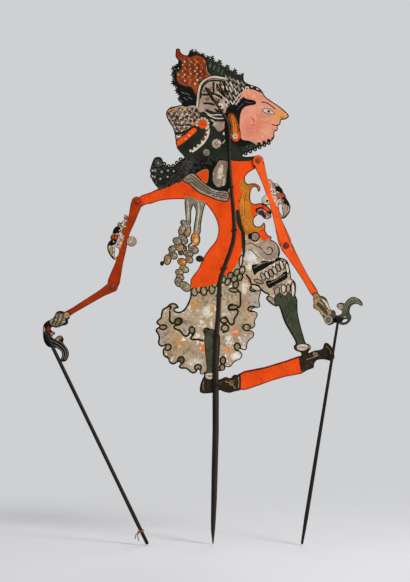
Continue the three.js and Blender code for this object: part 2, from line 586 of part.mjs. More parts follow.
function handRod(arm) {
  const length = rodLengthOf(arm);
  const [top, upper, middle, lower, foot] = arm.rodRadii;
  const neck = -ROD_EYE_HOLE_RADIUS - 1;
  const profile = [
    [0, -length], [foot * 0.6, -length], [foot, ROD_TIP_ROUND - length], [lower, ROD_FOOT_TAPER - length],
    [middle, -0.7 * length], [upper, -ROD_TOP_TAPER], [top, neck], [0, neck],
  ];
  const shaft = new THREE.LatheGeometry(profile.map(([r, y]) => new THREE.Vector2(r, y)), ROUND_SIDES);
  shaft.rotateX(Math.PI / 2);
  const place = palmOf(arm);
  const eyeBack = HAND_ROD_Y + ROD_EYE_HALF_THICKNESS;
  const eyeFront = HAND_ROD_Y - ROD_EYE_HALF_THICKNESS;
  const body = leaned(shaft, arm).add(drum(ROD_EYE_RADIUS, eyeFront, eyeBack, place));
  return body.subtract(drum(ROD_EYE_HOLE_RADIUS, eyeFront - 2, eyeBack + 2, place));
}

// The brown thread knotted round the foot of the rear rod, with its two short ends.
function tagString() {
  const height = TAG_RISE - rodLengthOf(REAR);
  const inner = REAR.rodRadii[3] + GAP;
  const collar = new THREE.LatheGeometry([
    [inner, -TAG_BAND / 2], [inner + TAG_WALL, -TAG_BAND / 2], [inner + TAG_WALL + TAG_SWELL, 0],
    [inner + TAG_WALL, TAG_BAND / 2], [inner, TAG_BAND / 2], [inner, -TAG_BAND / 2],
  ].map(([r, y]) => new THREE.Vector2(r, y)), ROUND_SIDES);
  collar.rotateX(Math.PI / 2);
  collar.translate(0, 0, height);
  const start = new THREE.Vector3(-inner - TAG_WALL - TAG_SWELL, 0, height);
  const knot = new THREE.SphereGeometry(TAG_KNOT_RADIUS, 12, 8);
  knot.translate(...start);
  const ends = TAG_END_REACHES.map(([dx, dz]) => {
    const path = new THREE.CatmullRomCurve3([
      start,
      start.clone().add(new THREE.Vector3(dx * 0.6, -0.6, dz * 0.3)),
      start.clone().add(new THREE.Vector3(dx, 0, dz)),
    ]);
    const section = new THREE.Shape();
    section.absarc(0, 0, TAG_END_RADIUS, 0, 2 * Math.PI);
    return new THREE.ExtrudeGeometry(section, { steps: 8, extrudePath: path, curveSegments: 4 });
  });
  return joined([collar, knot, ...ends].map((geometry) => leaned(geometry, REAR)));
}

const puppet = new THREE.Group();
const add = (name, body, material) => puppet.add(pieceOf(name, body, material));

add('figure_hide', figureHide(), hidePaint);
add('main_rod', joined([tine(1), tine(-1), rodHandle()]), horn);
TIE_LEVELS.forEach((level, index) => add(`rod_tie_${index + 1}`, rodTie(level), thread));
[REAR, FRONT].forEach((arm) => {
  const { name, shoulder } = arm;
  const elbow = elbowOf(arm);
  const hideBack = HIDE_THICKNESS / 2;
  const bore = PIN_RADIUS + GAP;
  add(`${name}_shoulder_spacer`,
    ring(WASHER_RADIUS, bore, UPPER_ARM_BACK + GAP, HIDE_FRONT - GAP, shoulder), leather);
  add(`${name}_shoulder_washer`,
    ring(WASHER_RADIUS, bore, hideBack + GAP, hideBack + GAP + WASHER_THICKNESS, shoulder), leather);
  add(`${name}_shoulder_pin`, pin(shoulder, UPPER_ARM_FRONT, hideBack + GAP + WASHER_THICKNESS), bone);
  add(`${name}_upper_arm`, upperArm(arm), armPaint);
  add(`${name}_forearm`, forearm(arm), armPaint);
  const washerFront = FOREARM_FRONT - GAP - WASHER_THICKNESS;
  add(`${name}_elbow_washer`, ring(WASHER_RADIUS, bore, washerFront, FOREARM_FRONT - GAP, elbow), leather);
  add(`${name}_elbow_pin`, pin(elbow, washerFront, UPPER_ARM_BACK), bone);
  add(`${name}_rod_thread`, rodThread(palmOf(arm)), thread);
  add(`${name}_hand_rod`, handRod(arm), rodBlack);
});
add('rear_rod_tag_string', tagString(), thread);

export default puppet;
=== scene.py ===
# %% [markdown]
# A flat shadow puppet is a drawing cut out of rawhide. The hide is scraped thin, cut with small punches,
# painted on both faces, and clamped in a split horn rod. So the lesson goes the same way: read the sheet's
# outline from the frame, lay out the drawing on it, cut and paint it, then dress the rod, pins and threads.

# %% Load the frame
import json
import math
import random

import bmesh
import bpy
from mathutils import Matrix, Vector, geometry


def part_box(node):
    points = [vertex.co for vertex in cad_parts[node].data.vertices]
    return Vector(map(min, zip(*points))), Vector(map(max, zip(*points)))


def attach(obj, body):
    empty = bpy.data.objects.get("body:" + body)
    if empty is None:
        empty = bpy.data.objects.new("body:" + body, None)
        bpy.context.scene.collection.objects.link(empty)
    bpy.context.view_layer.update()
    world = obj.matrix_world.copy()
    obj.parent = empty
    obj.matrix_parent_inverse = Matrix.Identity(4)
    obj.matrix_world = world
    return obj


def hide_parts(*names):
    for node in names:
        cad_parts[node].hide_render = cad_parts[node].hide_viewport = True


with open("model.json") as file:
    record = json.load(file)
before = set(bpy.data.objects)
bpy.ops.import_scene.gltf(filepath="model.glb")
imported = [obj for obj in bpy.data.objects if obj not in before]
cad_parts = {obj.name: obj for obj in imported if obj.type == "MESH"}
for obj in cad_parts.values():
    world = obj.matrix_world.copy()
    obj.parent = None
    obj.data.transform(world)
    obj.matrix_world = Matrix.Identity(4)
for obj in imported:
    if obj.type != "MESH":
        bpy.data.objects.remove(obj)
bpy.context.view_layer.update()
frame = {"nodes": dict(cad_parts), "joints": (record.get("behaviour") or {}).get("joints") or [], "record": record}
MM = 0.001

# %% [markdown]
# The photograph looks straight at the painted face, so the camera stands level, far off, and long in lens. A
# level camera keeps the rods parallel to the picture.

# %% Camera, floor and soft studio light
scene = bpy.context.scene
scene.view_settings.view_transform = "Standard"
PHOTO_WIDTH, PHOTO_HEIGHT = 410, 582
PIXEL = 1.5 * MM
ROD_POINT_PX = Vector((213.0, 543.5))
CAMERA_DISTANCE = 3.2
CAMERA_REACH = 100
SENSOR = 36.0
LAMP_TARGET = Vector((0, 0, 0.4))


def linear(hex_colour):
    """An sRGB hex colour as linear red, green, blue and alpha."""
    parts = [int(hex_colour[i : i + 2], 16) / 255 for i in (1, 3, 5)]
    return [c / 12.92 if c <= 0.04045 else ((c + 0.055) / 1.055) ** 2.4 for c in parts] + [1.0]


def add_object(name, data):
    thing = bpy.data.objects.new(name, data)
    scene.collection.objects.link(thing)
    return thing


def make_camera():
    data = bpy.data.cameras.new("camera")
    camera = add_object("camera", data)
    middle_x = (PHOTO_WIDTH / 2 - ROD_POINT_PX.x) * PIXEL
    middle_z = (ROD_POINT_PX.y - PHOTO_HEIGHT / 2) * PIXEL
    camera.location = (middle_x, -CAMERA_DISTANCE, middle_z)
    camera.rotation_euler = (math.radians(90), 0, 0)
    data.sensor_width = SENSOR
    data.lens = SENSOR * CAMERA_DISTANCE / (PHOTO_HEIGHT * PIXEL)
    data.clip_end = CAMERA_REACH
    scene.camera = camera


def make_lamp(name, place, size, watts):
    """A round soft lamp that points at the middle of the puppet."""
    data = bpy.data.lights.new(name, "AREA")
    data.energy = watts
    data.shape = "DISK"
    data.size = size
    lamp = add_object(name, data)
    lamp.location = place
    lamp.rotation_euler = (LAMP_TARGET - lamp.location).to_track_quat("-Z", "Y").to_euler()


make_camera()
make_lamp("key_lamp", (1.45, -1.7, 1.6), 0.9, 58)
make_lamp("fill_lamp", (-1.8, -1.8, 1.2), 1.6, 8)
make_lamp("back_lamp", (0.6, 2.2, 1.8), 1.6, 20)

# %% [markdown]
# A material tree is easier to read when one small function adds a node with its settings and its links. A
# link is given as the socket of another node, and a setting as a plain value.

# %% A small helper for nodes
def add_node(tree, kind, inputs=None, **settings):
    node = tree.nodes.new(kind)
    for name, value in settings.items():
        setattr(node, name, value)
    for name, value in (inputs or {}).items():
        if isinstance(value, bpy.types.NodeSocket):
            tree.links.new(value, node.inputs[name])
        else:
            node.inputs[name].default_value = value
    return node


def new_material(name):
    material = bpy.data.materials.new(name)
    material.use_nodes = True
    material.node_tree.nodes.clear()
    return material, material.node_tree


def close_material(tree, colour, rough, height, strength, depth, specular):
    """Ends a material with its shader, roughened by a bump that is so many metres deep."""
    bump = add_node(tree, "ShaderNodeBump", {"Height": height, "Strength": strength, "Distance": depth})
    shader = add_node(tree, "ShaderNodeBsdfPrincipled", {
        "Base Color": colour, "Roughness": rough, "Normal": bump.outputs["Normal"],
        "Specular IOR Level": specular})
    add_node(tree, "ShaderNodeOutputMaterial", {"Surface": shader.outputs["BSDF"]})


BACKDROP = "#cfd0d2"
SOFT_SKY = 0.45
FADE_START, FADE_END = 0.12, 1.15
FLOOR_HALF_SIZE = 40.0
FLOOR_LEVEL = -1.5 * MM


def make_world():
    world = bpy.data.worlds.new("studio")
    scene.world = world
    world.use_nodes = True
    tree = world.node_tree
    tree.nodes.clear()
    path = add_node(tree, "ShaderNodeLightPath")
    soft = add_node(tree, "ShaderNodeBackground", {"Color": linear("#f2f3f5"), "Strength": SOFT_SKY})
    pale = add_node(tree, "ShaderNodeBackground", {"Color": linear(BACKDROP), "Strength": 1.0})
    mix = add_node(tree, "ShaderNodeMixShader", {
        0: path.outputs["Is Camera Ray"], 1: soft.outputs[0], 2: pale.outputs[0]})
    add_node(tree, "ShaderNodeOutputWorld", {"Surface": mix.outputs[0]})


def make_floor():
    """A pale floor that fades into the backdrop with distance, so that no horizon shows."""
    mesh = bpy.data.meshes.new("floor")
    corners = [(-1, -1), (1, -1), (1, 1), (-1, 1)]
    spots = [(x * FLOOR_HALF_SIZE, y * FLOOR_HALF_SIZE, FLOOR_LEVEL) for x, y in corners]
    mesh.from_pydata(spots, [], [(0, 1, 2, 3)])
    floor = add_object("floor", mesh)
    material, tree = new_material("pale_studio_floor")
    place = add_node(tree, "ShaderNodeNewGeometry").outputs["Position"]
    grain = add_node(tree, "ShaderNodeTexNoise", {"Vector": place, "Scale": 3.0, "Detail": 4.0})
    tone = add_node(tree, "ShaderNodeMix", {
        0: grain.outputs["Fac"], 6: linear("#d3d3d5"), 7: linear("#dadadc")}, data_type="RGBA")
    matt = add_node(tree, "ShaderNodeBsdfPrincipled", {"Base Color": tone.outputs[2], "Roughness": 0.9})
    path = add_node(tree, "ShaderNodeLightPath")
    strength = add_node(tree, "ShaderNodeMapRange", {
        "Value": path.outputs["Is Camera Ray"], "To Min": SOFT_SKY})
    far = add_node(tree, "ShaderNodeEmission", {
        "Color": linear(BACKDROP), "Strength": strength.outputs["Result"]})
    away = add_node(tree, "ShaderNodeVectorMath", {0: place}, operation="LENGTH")
    fade = add_node(tree, "ShaderNodeMapRange", {
        "Value": away.outputs["Value"], "From Min": FADE_START, "From Max": FADE_END},
        interpolation_type="SMOOTHERSTEP")
    both = add_node(tree, "ShaderNodeMixShader", {
        0: fade.outputs["Result"], 1: matt.outputs["BSDF"], 2: far.outputs["Emission"]})
    add_node(tree, "ShaderNodeOutputMaterial", {"Surface": both.outputs["Shader"]})
    mesh.materials.append(material)


make_world()
make_floor()

# %% [markdown]
# Paint on rawhide is a thin, dry, matt film of pigment in glue. It clouds where the brush was loaded, over
# about 25 mm, mottles in blotches of 3 to 6 mm, and streaks along the strokes. The hide's pores, about half
# a millimetre, give the bump. Old cloth colours also carry soft stains at set places, ragged at their edges.

# %% Paints
CLOUD_SIZE = 25 * MM
MOTTLE_SIZE = 3.8 * MM
GATHER_SIZE = 32 * MM
STREAK_SIZE = 2.2 * MM
PORE_SIZE = 0.6 * MM
RAGGED_SIZE = 6 * MM
STAIN_INSIDE, STAIN_OUTSIDE = 1.1, 1.75
STAIN_RAGGEDNESS = 1.4
STREAK_STRETCH = 0.25
GATHER_SHIFT, MOTTLE_SHIFT = 1.9, 3.7
MOTTLE_EDGE = 0.08
MOTTLE_COVER = 0.92
GATHERING = 0.12
PAINT_ROUGHNESS = 0.74
CLOTH_STAINS = [
    (-51, 302, 17, 19, "#b98a4e", 0.75), (-27, 359, 12, 10, "#c48f45", 0.7),
    (-9, 348, 8, 12, "#e6dfd2", 0.8), (-1, 349, 5, 12, "#cf9238", 0.75), (-16, 293, 6, 9, "#e0702a", 0.9),
    (33, 317, 7, 8, "#e36f26", 0.9), (22, 290, 6, 6, "#e07a2c", 0.85), (24, 305, 7, 10, "#ece6db", 0.85),
    (35, 281, 9, 6, "#efe9df", 0.85), (-66, 284, 9, 8, "#8d6a42", 0.8), (-40, 320, 9, 9, "#a79c9c", 0.8),
    (-76, 312, 8, 12, "#9f9290", 0.75), (61, 367, 9, 12, "#ab9fa0", 0.75), (46, 303, 9, 12, "#a99b99", 0.7),
    (49, 350, 6, 20, "#b58c68", 0.6), (-24, 270, 14, 10, "#d9d1c4", 0.6), (58, 430, 12, 12, "#d8d8da", 0.85),
    (84, 441, 13, 13, "#b99c86", 0.6), (48, 385, 6, 12, "#e6dbcf", 0.75),
    (52, 397, 6, 8, "#b0704c", 0.7), (55, 416, 6, 7, "#ece5d8", 0.8), (47, 364, 6, 9, "#9f7c5e", 0.65),
]


def with_stains(tree, where, colour, stains):
    """Adds stains, each given by its middle and half sizes in mm across and up, its colour and its share."""
    apart = add_node(tree, "ShaderNodeSeparateXYZ", {"Vector": where})
    ragged = add_node(tree, "ShaderNodeTexNoise", {
        "Vector": where, "Scale": 1 / RAGGED_SIZE, "Detail": 5.0, "Roughness": 0.7})
    for x, z, wide, high, tint, share in stains:
        reach = [add_node(tree, "ShaderNodeMapRange", {
            "Value": apart.outputs[axis], "From Min": (middle - half) * MM, "From Max": (middle + half) * MM,
            "To Min": -1.0}, clamp=False).outputs["Result"]
            for axis, middle, half in (("X", x, wide), ("Z", z, high))]
        flat_way = add_node(tree, "ShaderNodeCombineXYZ", {"X": reach[0], "Y": reach[1]})
        away = add_node(tree, "ShaderNodeVectorMath", {0: flat_way.outputs["Vector"]}, operation="LENGTH")
        edge = add_node(tree, "ShaderNodeMath", {
            0: ragged.outputs["Fac"], 1: STAIN_RAGGEDNESS, 2: away.outputs["Value"]},
            operation="MULTIPLY_ADD")
        amount = add_node(tree, "ShaderNodeMapRange", {
            "Value": edge.outputs[0], "From Min": STAIN_OUTSIDE, "From Max": STAIN_INSIDE, "To Max": share})
        colour = add_node(tree, "ShaderNodeMix", {
            0: amount.outputs["Result"], 6: colour, 7: linear(tint)}, data_type="RGBA").outputs[2]
    return colour


def paint(name, main, deep, mottles=(), streak=0.35, stains=()):
    """Matt glue paint: two near colours clouded together, mottled, stained and streaked by the brush."""
    material, tree = new_material(name)
    where = add_node(tree, "ShaderNodeTexCoord").outputs["Object"]
    cloud = add_node(tree, "ShaderNodeTexNoise", {
        "Vector": where, "Scale": 1 / CLOUD_SIZE, "Detail": 3.0, "Roughness": 0.55})
    clouded = add_node(tree, "ShaderNodeMapRange", {
        "Value": cloud.outputs["Fac"], "From Min": 0.35, "From Max": 0.65})
    colour = add_node(tree, "ShaderNodeMix", {
        0: clouded.outputs["Result"], 6: linear(main), 7: linear(deep)}, data_type="RGBA").outputs[2]
    if stains:
        colour = with_stains(tree, where, colour, stains)
    moved = add_node(tree, "ShaderNodeMapping", {"Vector": where, "Location": [GATHER_SHIFT] * 3})
    gathered = add_node(tree, "ShaderNodeTexNoise", {
        "Vector": moved.outputs["Vector"], "Scale": 1 / GATHER_SIZE, "Detail": 2.0, "Roughness": 0.55})
    for order, (tint, share) in enumerate(mottles):
        moved = add_node(tree, "ShaderNodeMapping", {
            "Vector": where, "Location": [MOTTLE_SHIFT * (order + 1)] * 3})
        blotch = add_node(tree, "ShaderNodeTexNoise", {
            "Vector": moved.outputs["Vector"], "Scale": 1 / (MOTTLE_SIZE * (1 + 0.4 * order)), "Detail": 4.0,
            "Roughness": 0.62})
        start, end = (0.62, 0.38) if order % 2 else (0.38, 0.62)
        sparse = add_node(tree, "ShaderNodeMapRange", {
            "Value": gathered.outputs["Fac"], "From Min": start, "From Max": end, "To Max": GATHERING})
        held = add_node(tree, "ShaderNodeMath", {
            0: blotch.outputs["Fac"], 1: sparse.outputs["Result"]}, operation="SUBTRACT")
        low = 0.66 - 0.32 * share
        amount = add_node(tree, "ShaderNodeMapRange", {
            "Value": held.outputs[0], "From Min": low, "From Max": low + MOTTLE_EDGE,
            "To Max": MOTTLE_COVER})
        colour = add_node(tree, "ShaderNodeMix", {
            0: amount.outputs["Result"], 6: colour, 7: linear(tint)}, data_type="RGBA").outputs[2]
    stretched = add_node(tree, "ShaderNodeMapping", {"Vector": where, "Scale": (1, 1, STREAK_STRETCH)})
    streaks = add_node(tree, "ShaderNodeTexNoise", {
        "Vector": stretched.outputs["Vector"], "Scale": 1 / STREAK_SIZE, "Detail": 3.0, "Roughness": 0.6})
    brushed = add_node(tree, "ShaderNodeMapRange", {
        "Value": streaks.outputs["Fac"], "From Min": 0.45, "From Max": 0.75, "To Max": streak})
    colour = add_node(tree, "ShaderNodeMix", {
        0: brushed.outputs["Result"], 6: colour, 7: linear(deep)}, data_type="RGBA").outputs[2]
    rough = add_node(tree, "ShaderNodeMapRange", {
        "Value": streaks.outputs["Fac"], "To Min": PAINT_ROUGHNESS - 0.1, "To Max": PAINT_ROUGHNESS + 0.12})
    pores = add_node(tree, "ShaderNodeTexNoise", {
        "Vector": where, "Scale": 1 / PORE_SIZE, "Detail": 2.0, "Roughness": 0.55})
    close_material(tree, colour, rough.outputs["Result"], pores.outputs["Fac"], 0.25, 0.15 * MM, 0.08)
    return material


PAINTS = {
    "cream": paint("stained_cream_cloth_paint", "#b9a388", "#9a856a", [("#7b6a55", 0.46), ("#e9e1d3", 0.44)],
                   stains=CLOTH_STAINS),
    "pale": paint("pale_lime_paint", "#cfc3b1", "#ab9d8a", [("#8d7f70", 0.42), ("#ebe4d8", 0.36)]),
    "silver": paint("grey_lime_paint", "#8f8070", "#706252", [("#c6b9a7", 0.42), ("#554a3d", 0.34)]),
    "woven": paint("woven_band_paint", "#8b7865", "#685849", [("#c9bcaa", 0.42), ("#7f5637", 0.3)]),
    "soot": paint("worn_black_paint", "#43413d", "#2c2a27", [("#67645d", 0.34), ("#171614", 0.28)]),
    "red": paint("orange_red_paint", "#e64c10", "#cb3f0a", [("#ec5f1c", 0.26), ("#a22f08", 0.2)], 0.25),
    # The rear arm's red is the body's red darkened as painted shade, and the front arm's is lightened as painted
    # light.
    "arm_red": paint("painted_shade_orange_red_paint", "#a53206", "#8c2904", [("#b9430f", 0.24), ("#742204", 0.18)],
                     0.2),
    "bright_red": paint("painted_light_orange_red_paint", "#ee5c20", "#da4c14",
                        [("#ee6c30", 0.24), ("#b43a0c", 0.18)], 0.2),
    "deep_red": paint("deep_red_paint", "#8f2608", "#6e1c06", [("#b03c12", 0.25)]),
    "gold": paint("ochre_gold_paint", "#c97a1f", "#a96218", [("#e6a03e", 0.36), ("#8e4c14", 0.26)]),
    "rust": paint("rust_brown_paint", "#93401a", "#6e2c0f", [("#c0662a", 0.38), ("#55200c", 0.28)]),
    "pink": paint("flesh_pink_paint", "#d9937c", "#c67c5f", [("#e2a48c", 0.3), ("#bb6f4b", 0.24)],
                  stains=[(108, 642, 24, 18, "#d0913f", 0.7), (60, 625, 18, 16, "#c8694c", 0.6)]),
    "green": paint("dark_green_paint", "#252b20", "#171b14", [("#3c4532", 0.28)]),
    "sage": paint("grey_green_paint", "#5c6450", "#454d3b", [("#7f866e", 0.32)]),
    "leg_green": paint("leg_green_paint", "#454a37", "#2f3427", [("#565c45", 0.34), ("#1d2118", 0.28)]),
    "black": paint("lamp_black_paint", "#100f0d", "#090908", [("#242019", 0.28)]),
    "grey": paint("grey_hair_line_paint", "#6f6b65", "#524f4a", [("#928d85", 0.3)]),
    "ink": paint("olive_black_line_paint", "#211d10", "#151209", [("#403920", 0.28)]),
    "olive": paint("pale_olive_paint", "#998d69", "#7b704d", [("#bfb493", 0.36), ("#5f5635", 0.28)]),
    "moss": paint("dark_olive_paint", "#5a5534", "#413d24", [("#7d764c", 0.3)]),
    "ruffle": paint("old_cloth_paint", "#93836c", "#73654e", [("#bcae96", 0.4), ("#52462f", 0.3)]),
    "brown": paint("dark_brown_paint", "#2f251b", "#1e1710", [("#4d3b28", 0.34), ("#120e0a", 0.26)]),
    "tan": paint("tan_paint", "#a6845a", "#86663f", [("#c9aa80", 0.36), ("#654a2c", 0.24)]),
    "rose": paint("rose_paint", "#b85a4c", "#963f33", [("#d48f80", 0.34)]),
    "blush": paint("pinkish_grey_paint", "#ad9484", "#8c7565", [("#d3c0b2", 0.38), ("#695649", 0.28)]),
    "edge": paint("cut_rawhide_edge", "#7d6546", "#604c32", [("#9c8360", 0.3)]),
}
PAINT_NAMES = list(PAINTS)
print(len(PAINTS), "paints")

# %% [markdown]
# The sheet is treated as a plan drawing, in millimetres across and up. Every painted shape, line and cut is
# a closed outline in that plan. A constrained triangulation cuts the sheet along all of them at once, so
# each colour ends in a true edge, each cut is a real hole, and the front and the back carry the same
# picture. The sheet's own outline is read from the front face of its frame node.

# %% Outlines of a sheet, read from the frame
FLAT_WITHIN = 0.01 * MM


def outline_loops(node):
    """The closed loops round a flat sheet's front face, as (x, z) in mm, outer ones anticlockwise."""
    mesh = frame["nodes"][node].data
    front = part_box(node)[0].y
    spot = [(round(v.co.x / MM, 3), round(v.co.z / MM, 3)) for v in mesh.vertices]
    on_front = [abs(v.co.y - front) < FLAT_WITHIN for v in mesh.vertices]
    edges = set()
    for face in mesh.polygons:
        if face.normal.y < -0.9 and all(on_front[v] for v in face.vertices):
            around = [spot[v] for v in face.vertices]
            edges.update(zip(around, around[1:] + around[:1]))
    following = {a: b for a, b in edges if (b, a) not in edges}
    loops = []
    while following:
        start, point = next(iter(following.items()))
        loop = [start]
        del following[start]
        while point != start:
            loop.append(point)
            point = following.pop(point, start)
        loops.append(loop)
    return [loop for loop in loops if len(loop) > 2]


def area(loop):
    return sum(a[0] * b[1] - b[0] * a[1] for a, b in zip(loop, loop[1:] + loop[:1])) / 2


# %% [markdown]
# A painter needs few marks: a filled shape, a line, a dot, a ring, a curl. Each mark becomes small closed
# outlines. A curve is drawn through its few points, so the lists stay short.

# %% Marks of the drawing
CURVE_POINTS = 4
SMALLEST_SHAPE = 0.02
LINE_END = 0.35
CURL_CLOSES = 0.85
SLOT_PITCH, SLOT_LENGTH, SLOT_WIDTH = 2.6, 1.7, 0.7


def through(points, closed=True):
    """A smooth curve through the points (Catmull-Rom)."""
    count = len(points)
    spans = count if closed else count - 1
    out = []
    for i in range(spans):
        if closed:
            p = [Vector(points[(i + k) % count]) for k in (-1, 0, 1, 2)]
        else:
            p = [Vector(points[min(max(i + k, 0), count - 1)]) for k in (-1, 0, 1, 2)]
        for s in range(CURVE_POINTS):
            t = s / CURVE_POINTS
            out.append(0.5 * (2 * p[1] + (p[2] - p[0]) * t + (2 * p[0] - 5 * p[1] + 4 * p[2] - p[3]) * t * t
                              + (3 * p[1] - p[0] - 3 * p[2] + p[3]) * t ** 3))
    if not closed:
        out.append(Vector(points[-1]))
    return out


def circle(centre, radius, sides):
    turns = [2 * math.pi * k / sides for k in range(sides)]
    return [Vector((centre[0] + radius * math.cos(t), centre[1] + radius * math.sin(t))) for t in turns]


# Sizes of holes, in square mm. Threads go through the smallest ones, which stay uncut in the painted hide.
THREAD_HOLE, SMALL_HOLE = 8.0, 20.0


class Drawing:
    """The picture on one sheet: closed shapes with their paints, in the order they are painted, and cuts."""

    def __init__(self, rims):
        self.rims = [[Vector(p) for p in loop] for loop in rims]
        self.outer = [loop for loop in self.rims if area(loop) > 0]
        self.cuts = [loop[::-1] for loop in self.rims if area(loop) < -THREAD_HOLE]
        self.shapes = []

    def shape(self, points, name):
        points = [Vector(p) for p in points]
        if area(points) < 0:
            points.reverse()
        if area(points) > SMALLEST_SHAPE:
            self.shapes.append((points, name))

    def fill(self, points, name, border=None, width=1.2):
        """A smooth filled shape, with a painted line along its edge if a border is named."""
        curve = through(points)
        self.shape(curve, name)
        if border:
            self.line(curve, border, width, closed=True, smooth=False)

    def line(self, points, name="ink", width=1.2, closed=False, smooth=True):
        curve = through(points, closed) if smooth else [Vector(p) for p in points]
        count = len(curve)
        sides = []
        for i, p in enumerate(curve):
            before = curve[i - 1] if i or closed else p
            after = curve[(i + 1) % count] if i < count - 1 or closed else p
            along = (after - before).normalized() if (after - before).length > 1e-6 else Vector((1, 0))
            taper = 1.0 if closed or 0 < i < count - 1 else LINE_END
            across = Vector((-along.y, along.x)) * width / 2 * taper
            sides.append((p + across, p - across))
        for i in range(count if closed else count - 1):
            (a, b), (c, d) = sides[i], sides[(i + 1) % count]
            self.shape((a, b, d), name)
            self.shape((a, d, c), name)

    def dot(self, centre, radius, name, sides=10):
        self.shape(circle(centre, radius, sides), name)

    def ring(self, centre, radius, name="ink", width=1.0, inside=None):
        self.dot(centre, radius + width / 2, name, 18)
        if inside:
            self.dot(centre, radius - width / 2, inside, 18)

    def oval(self, x, z, half_length, half_width, lean, name, sides=18):
        """An oval whose length leans by so many degrees from across."""
        angle = math.radians(lean)
        u = Vector((math.cos(angle), math.sin(angle))) * half_length
        v = Vector((-math.sin(angle), math.cos(angle))) * half_width
        turns = [2 * math.pi * k / sides for k in range(sides)]
        self.shape([Vector((x, z)) + u * math.cos(t) + v * math.sin(t) for t in turns], name)

    def fold(self, x, z, half_length, half_width, lean=0.0, name="olive", border="ink", width=1.3):
        """One oval fold of cloth with its dark outline."""
        half = width / 2
        self.oval(x, z, half_length + half, half_width + half, lean, border)
        self.oval(x, z, half_length - half, half_width - half, lean, name)

    def curl(self, centre, radius, turns=1.5, start=0.0, name="ink", width=1.0):
        """A spiral that winds inwards; negative turns wind the other way."""
        steps = max(8, int(abs(turns) * (10 if radius > 5 else 8)))
        points = []
        for k in range(steps + 1):
            t = k / steps
            reach = radius * (1 - CURL_CLOSES * t)
            angle = math.radians(start) + 2 * math.pi * turns * t
            points.append((centre[0] + reach * math.cos(angle), centre[1] + reach * math.sin(angle)))
        self.line(points, name, width, smooth=False)

    def ringlet(self, centre, radius, name):
        """A small ring of hair that stands out from the hide's edge, with its middle punched out."""
        self.outer.append(circle(centre, radius + 0.5, 14))
        self.ring(centre, radius, "black", 1.4, name)
        self.ring(centre, radius * 0.6, "grey", 0.6, name)
        self.cut(circle(centre, radius * 0.3, 8), False)

    def flower(self, centre, radius, petals, name, eye):
        for k in range(petals):
            angle = 2 * math.pi * k / petals
            spot = (centre[0] + 0.62 * radius * math.cos(angle), centre[1] + 0.62 * radius * math.sin(angle))
            self.dot(spot, 0.48 * radius, name)
        self.dot(centre, 0.32 * radius, eye)

    def scrolls(self, outline, pitch, radius, name, seed, width=0.8, turns=1.3):
        """Small curls in loose rows all over an area, each turned its own way."""
        chance = random.Random(seed)
        outline = [Vector(p) for p in outline]
        left, right = min(p.x for p in outline), max(p.x for p in outline)
        bottom, top = min(p.y for p in outline), max(p.y for p in outline)
        row_pitch = pitch * 0.87
        for row in range(int((top - bottom) / row_pitch) + 1):
            for column in range(int((right - left) / pitch) + 1):
                x = left + pitch * (column + 0.5 * (row % 2)) + chance.uniform(-0.12, 0.12) * pitch
                z = bottom + row_pitch * row + chance.uniform(-0.12, 0.12) * pitch
                size = radius * chance.uniform(0.85, 1.15)
                side = chance.choice((-1, 1))
                start = chance.uniform(0, 360)
                if holds(outline, Vector((x, z))):
                    self.curl((x, z), size, side * turns, start, name, width)

    def strokes(self, places, half_length, half_width, lean, name):
        """Leaf-shaped strokes of one slant."""
        for x, z in places:
            self.oval(x, z, half_length, half_width, lean, name, 10)

    def stretch(self, start, end):
        """The sheet's own outline from its point nearest start to its point nearest end, hide on the left."""
        start, end = Vector(start), Vector(end)
        loop = min(self.rims, key=lambda rim: min((p - start).length for p in rim)
                   + min((p - end).length for p in rim))
        first, last = (min(range(len(loop)), key=lambda i: (loop[i] - spot).length) for spot in (start, end))
        if (last - first) % len(loop) > len(loop) / 2:
            first, last = last, first
        count = (last - first) % len(loop)
        return [loop[(first + k) % len(loop)] for k in range(count + 1)]

    def edge(self, start, end, name, width):
        self.line(self.stretch(start, end), name, width, smooth=False)

    def rim_lines(self, name, width):
        """A line along every edge of the hide, but not round the small holes of pins and threads."""
        for rim in self.rims:
            if abs(area(rim)) > SMALL_HOLE:
                self.line(rim, name, width, closed=True, smooth=False)

    def fringe(self, start, end, pitch, length, name, lean=0.0):
        """Short slanted nibs along a stretch of the outline, standing out from the hide."""
        curve = self.stretch(start, end)
        left = pitch / 2
        for a, b in zip(curve, curve[1:]):
            span = (b - a).length
            along = (b - a) / max(span, 1e-6)
            out = (Vector((along.y, -along.x)) + along * lean).normalized()
            while left < span:
                root = a.lerp(b, left / span)
                foot, point = along * pitch * 0.42, along * pitch * 0.1
                tip = root + out * length
                nib = [root - foot - out * 0.6, root + foot - out * 0.6, tip + point, tip - point]
                if area(nib) < 0:
                    nib.reverse()
                self.outer.append(nib)
                self.shape(nib, name)
                left += pitch
            left -= span

    def cut(self, points, smooth=True):
        curve = through(points) if smooth else [Vector(p) for p in points]
        self.cuts.append(curve if area(curve) > 0 else curve[::-1])

    def cut_row(self, points):
        """A row of small punched slots along a curve, as the hide cutter's chisel leaves them."""
        curve = through(points, False)
        left = SLOT_PITCH / 2
        for a, b in zip(curve, curve[1:]):
            span = (b - a).length
            along = (b - a) / max(span, 1e-6)
            across = Vector((-along.y, along.x))
            while left < span:
                c = a.lerp(b, left / span)
                u, v = along * SLOT_LENGTH / 2, across * SLOT_WIDTH / 2
                self.cut([c - u, c - u * 0.6 - v, c + u * 0.6 - v, c + u, c + u * 0.6 + v, c - u * 0.6 + v],
                         False)
                left += SLOT_PITCH
            left -= span


# %% [markdown]
# The triangulation reports, for each small triangle, which outlines it lies in. The last painted shape wins,
# a triangle in a cut is left out, and one in no sheet outline is waste hide. What remains is laid down
# twice, for the two faces, and joined by a wall along every edge.

